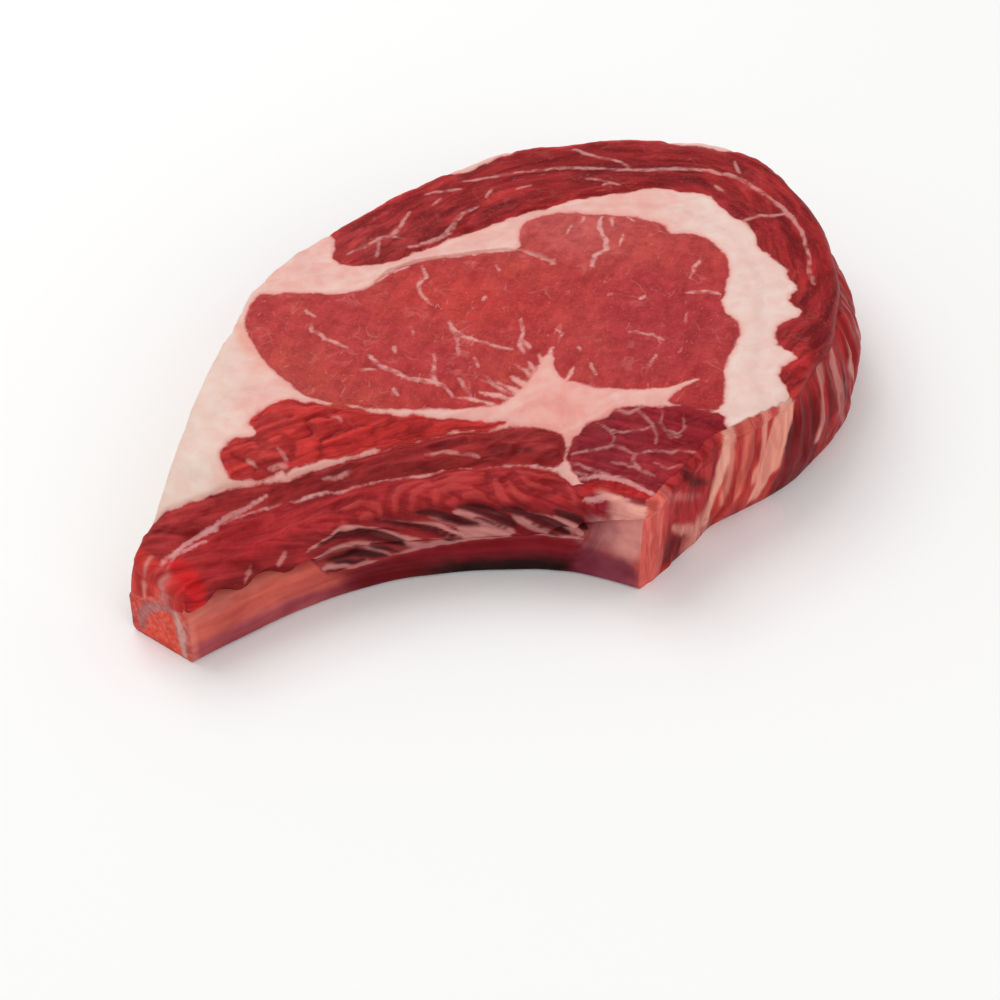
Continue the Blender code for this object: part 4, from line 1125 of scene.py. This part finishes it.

# Colours of the skin over the front, of silverskin above it, and of the sawn faces; the skin's lower side
# carries painted shade
ribX, ribY, ribZ = ribPlace.T
x, z = ribX + ribWander[:, 0] * 2.0, ribZ + ribWander[:, 1] * 1.2
frontFace = (chart[:, 0] < 7.0) & ~onCut & (ribX < 27.0) & (ribX > -52.0)
skinUp = ribZ + 0.93 * np.where(frontFace, chart[:, 0], 0.0)
skinChart = columns([ribX, skinUp]) + ribWander * 0.45
skinHeight = np.interp(skinChart[:, 0], [-52.0, -46.0, -38.0, -30.0, -20.0, -8.0, 4.0, 18.0],
                       [20.0, 8.5, 7.6, 8.0, 9.6, 11.0, 11.5, 11.5])
overSkin = frontFace * ease((skinChart[:, 1] - skinHeight) / 1.6) * ease((25.0 - skinChart[:, 0]) / 7.0)
ribTint = tinted(
    np.array([0.57, 0.1, 0.075]),
    ((0.6, 0.17, 0.13), 0.6 * ease((z - 12.0) / 4.0)),
    # painted shade: the skin darker towards the bottom
    ((0.37, 0.065, 0.08), ease((8.0 - z) / 4.0)),
    ((0.15, 0.004, 0.009), ease((x + 50.0) / 14.0) * ease((26.0 - x) / 6.0)),
    ((0.26, 0.004, 0.011), 0.6 * ease((x + 46.0) / 14.0) * ease((22.0 - x) / 8.0) * ease((z - 6.0) / 4.0)),
    # painted shadow: near black low on the front, where the bone turns under
    ((0.012, 0.0002, 0.0005), ease((x + 30.0) / 16.0) * ease((20.0 - x) / 8.0) * ease((7.6 - z) / 5.0)),
    ((0.22, 0.032, 0.058), 0.9 * ease((x - 14.0) / 6.0) * ease((34.0 - x) / 6.0) * ease((15.0 - z) / 6.0)),
    ((0.42, 0.17, 0.17), 0.7 * ease((x - 16.0) / 4.0) * ease((z - 10.0) / 4.0)),
    ((0.69, 0.27, 0.235), ease((x - 25.0) / 5.0) * ease((z - 8.0) / 6.0)),
    ((0.84, 0.27, 0.215), ease((x - 23.0) / 4.0) * ease((z - 23.5) / 2.5)),
    ((0.62, 0.085, 0.06), 0.85 * ease((ribX - 32.0) / 1.5) * ease((16.0 - z) / 6.0)),
    ((0.66, 0.16, 0.13), 0.8 * ease((-76.0 - ribX) / 1.5) * (ribY < -86.0)),
    ((0.3, 0.03, 0.033), 0.9 * overSkin))
# Streaks and slits on the rib's skin, the slits to be painted near black as shade
for name, strokes in dict(streak=streaks, slit=slits).items():
    addValue(ribMesh, name, strokeDepth(skinChart, strokes) - 5.0 * (1.0 - overSkin))
tipTint = tinted(
    np.array([0.76, 0.07, 0.04]),
    ((0.66, 0.05, 0.038), ease((4.2 - tipChart[:, 0]) / 2.0)),
    ((0.62, 0.09, 0.07), ease((tipChart[:, 0] - 18.6) / 0.8)),
    ((0.44, 0.13, 0.125), ease(arch + 0.5)),
    ((0.66, 0.32, 0.28), ease((arch - 0.2) / 0.8) * ease((tipChart[:, 0] - 15.0) / 1.5)))
sawnX, sawnZ = (chart + ribWander).T
headTint = tinted(
    np.array([0.38, 0.022, 0.024]),
    ((0.14, 0.008, 0.01), 0.8 * bell((sawnX - 7.5) / 1.8) * ease((sawnZ - 14.0) / 3.0)),
    ((0.13, 0.004, 0.005), 0.9 * bell(np.hypot((sawnX - 12.5) / 5.6, (sawnZ - 7.0) / 6.0) ** 2)),
    ((0.72, 0.13, 0.105), ease((8.6 - sawnX) / 4.0)))
cutTint = np.where(atTip[:, None], tipTint, headTint)
addValue(ribMesh, "tint", np.where(onCut[:, None], cutTint, ribTint))
addValue(ribMesh, "cut", beyond * 30.0 * atTip)
ribAlong = np.concatenate([[0.0], np.cumsum(np.hypot(*np.diff(line[:, :2], axis=0).T))])[ringIndex]
smooth = 1.0 - 0.72 * ease((ribX - 16.0) / 8.0)
addValue(ribMesh, "fibre", columns([ribAlong, chart[:, 0] * 0.7 * smooth, ribZ * smooth]))


def layRibMap(mesh):
    # The skin unrolled, the two sawn faces above it
    loops, starts, totals = readFaces(mesh)
    away = marker[loops, 2]
    tipFace = np.repeat(np.maximum.reduceat(away, starts) < 0.5, totals)
    headFace = np.repeat(np.minimum.reduceat(away, starts) > rib["sections"] - 1.5, totals)
    turns = unrollTurn(aroundIndex[loops] / rib["around"], starts, totals)
    across, up = (chart[loops] * np.array([0.0184, 0.01035])).T
    u = np.where(headFace, 0.52 + across, 0.01 + 0.98 * away / (rib["sections"] - 1.0))
    u = np.where(tipFace, 0.02 + across, u)
    v = np.where(tipFace | headFace, 0.705 + up, 0.01 + 0.68 * turns / 1.02)
    addMap(mesh, u, v)


layRibMap(ribMesh)


def ribMaterial():
    material, tree, spot, fibre = startMaterial("sawnRib")
    broad = cloud(tree, spot, 110.0, 3.0, 0.4)
    fine = cloud(tree, spot, 800.0, 3.0)
    strand = cloud(tree, fibre, 1.0, 3.0, 0.4, (0.05, 0.45, 0.45))
    tint = silverskin(tree, attribute(tree, "tint", "Vector"), strand)[0]
    shade = reckon(tree, "ADD", ramp(tree, strand, 0.3, 0.7, 0.6), ramp(tree, broad, 0.3, 0.7, 0.4))
    light = mix(tree, 0.015, mix(tree, 1.0, tint, (1.15, 1.25, 1.2), "MULTIPLY"), (0.85, 0.5, 0.42))
    cut = ramp(tree, attribute(tree, "cut"), 0.0, 1.0)
    surface = coated(
        tree, mix(tree, shade, mix(tree, 1.0, tint, (0.76, 0.62, 0.66), "MULTIPLY"), light),
        (ramp(tree, fine, 0.45, 0.7, cut, 0.3), (0.8, 0.34, 0.26)),
        (ramp(tree, fine, 0.45, 0.25, cut, 0.35), (0.34, 0.03, 0.025)))
    rough = reckon(tree, "ADD", times(tree, broad, 0.3), 0.3)
    height = reckon(tree, "ADD", times(tree, strand, 0.4), times(tree, fine, 0.5))
    finishMaterial(tree, surface, rough, height, rib)
    return material


ribBone = link(bpy.data.objects.new("ribBone", ribMesh))
ribMesh.materials.append(ribMaterial())
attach(ribBone, "root")
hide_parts("rib_bone")


# Floor, light and view
print("stage")
stage = dict(size=6.0, shade=(0.95, 0.95, 0.945), roughness=0.9, sky=0.62, keyPower=7.0, fillPower=4.5)
bm = bmesh.new()
bmesh.ops.create_grid(bm, x_segments=1, y_segments=1, size=stage["size"])
floorMesh = toMesh(bm, "floor")
floor = link(bpy.data.objects.new("floor", floorMesh))
floorMaterial = bpy.data.materials.new("paleFloor")
floorMaterial.use_nodes = True
floorShader = floorMaterial.node_tree.nodes["Principled BSDF"]
floorShader.inputs["Base Color"].default_value = (*stage["shade"], 1.0)
floorShader.inputs["Roughness"].default_value = stage["roughness"]
floorMesh.materials.append(floorMaterial)

world = bpy.data.worlds.new("studio")
bpy.context.scene.world = world
world.use_nodes = True
background = world.node_tree.nodes["Background"].inputs
background["Color"].default_value = (1.0, 1.0, 1.0, 1.0)
seen = addNode(world.node_tree, "ShaderNodeLightPath").outputs["Is Camera Ray"]
strength = reckon(world.node_tree, "MAXIMUM", seen, stage["sky"])
world.node_tree.links.new(strength, background["Strength"])


def addLight(name, place, power, size):
    data = bpy.data.lights.new(name, "AREA")
    data.energy = power
    data.size = size
    lamp = link(bpy.data.objects.new(name, data))
    lamp.location = place
    lamp.rotation_euler = (-Vector(place)).to_track_quat("-Z", "Y").to_euler()


addLight("key", (-0.5, 0.5, 1.1), stage["keyPower"], 0.9)
addLight("fill", (0.6, -1.0, 0.8), stage["fillPower"], 1.0)
bpy.context.scene.view_settings.view_transform = "Standard"
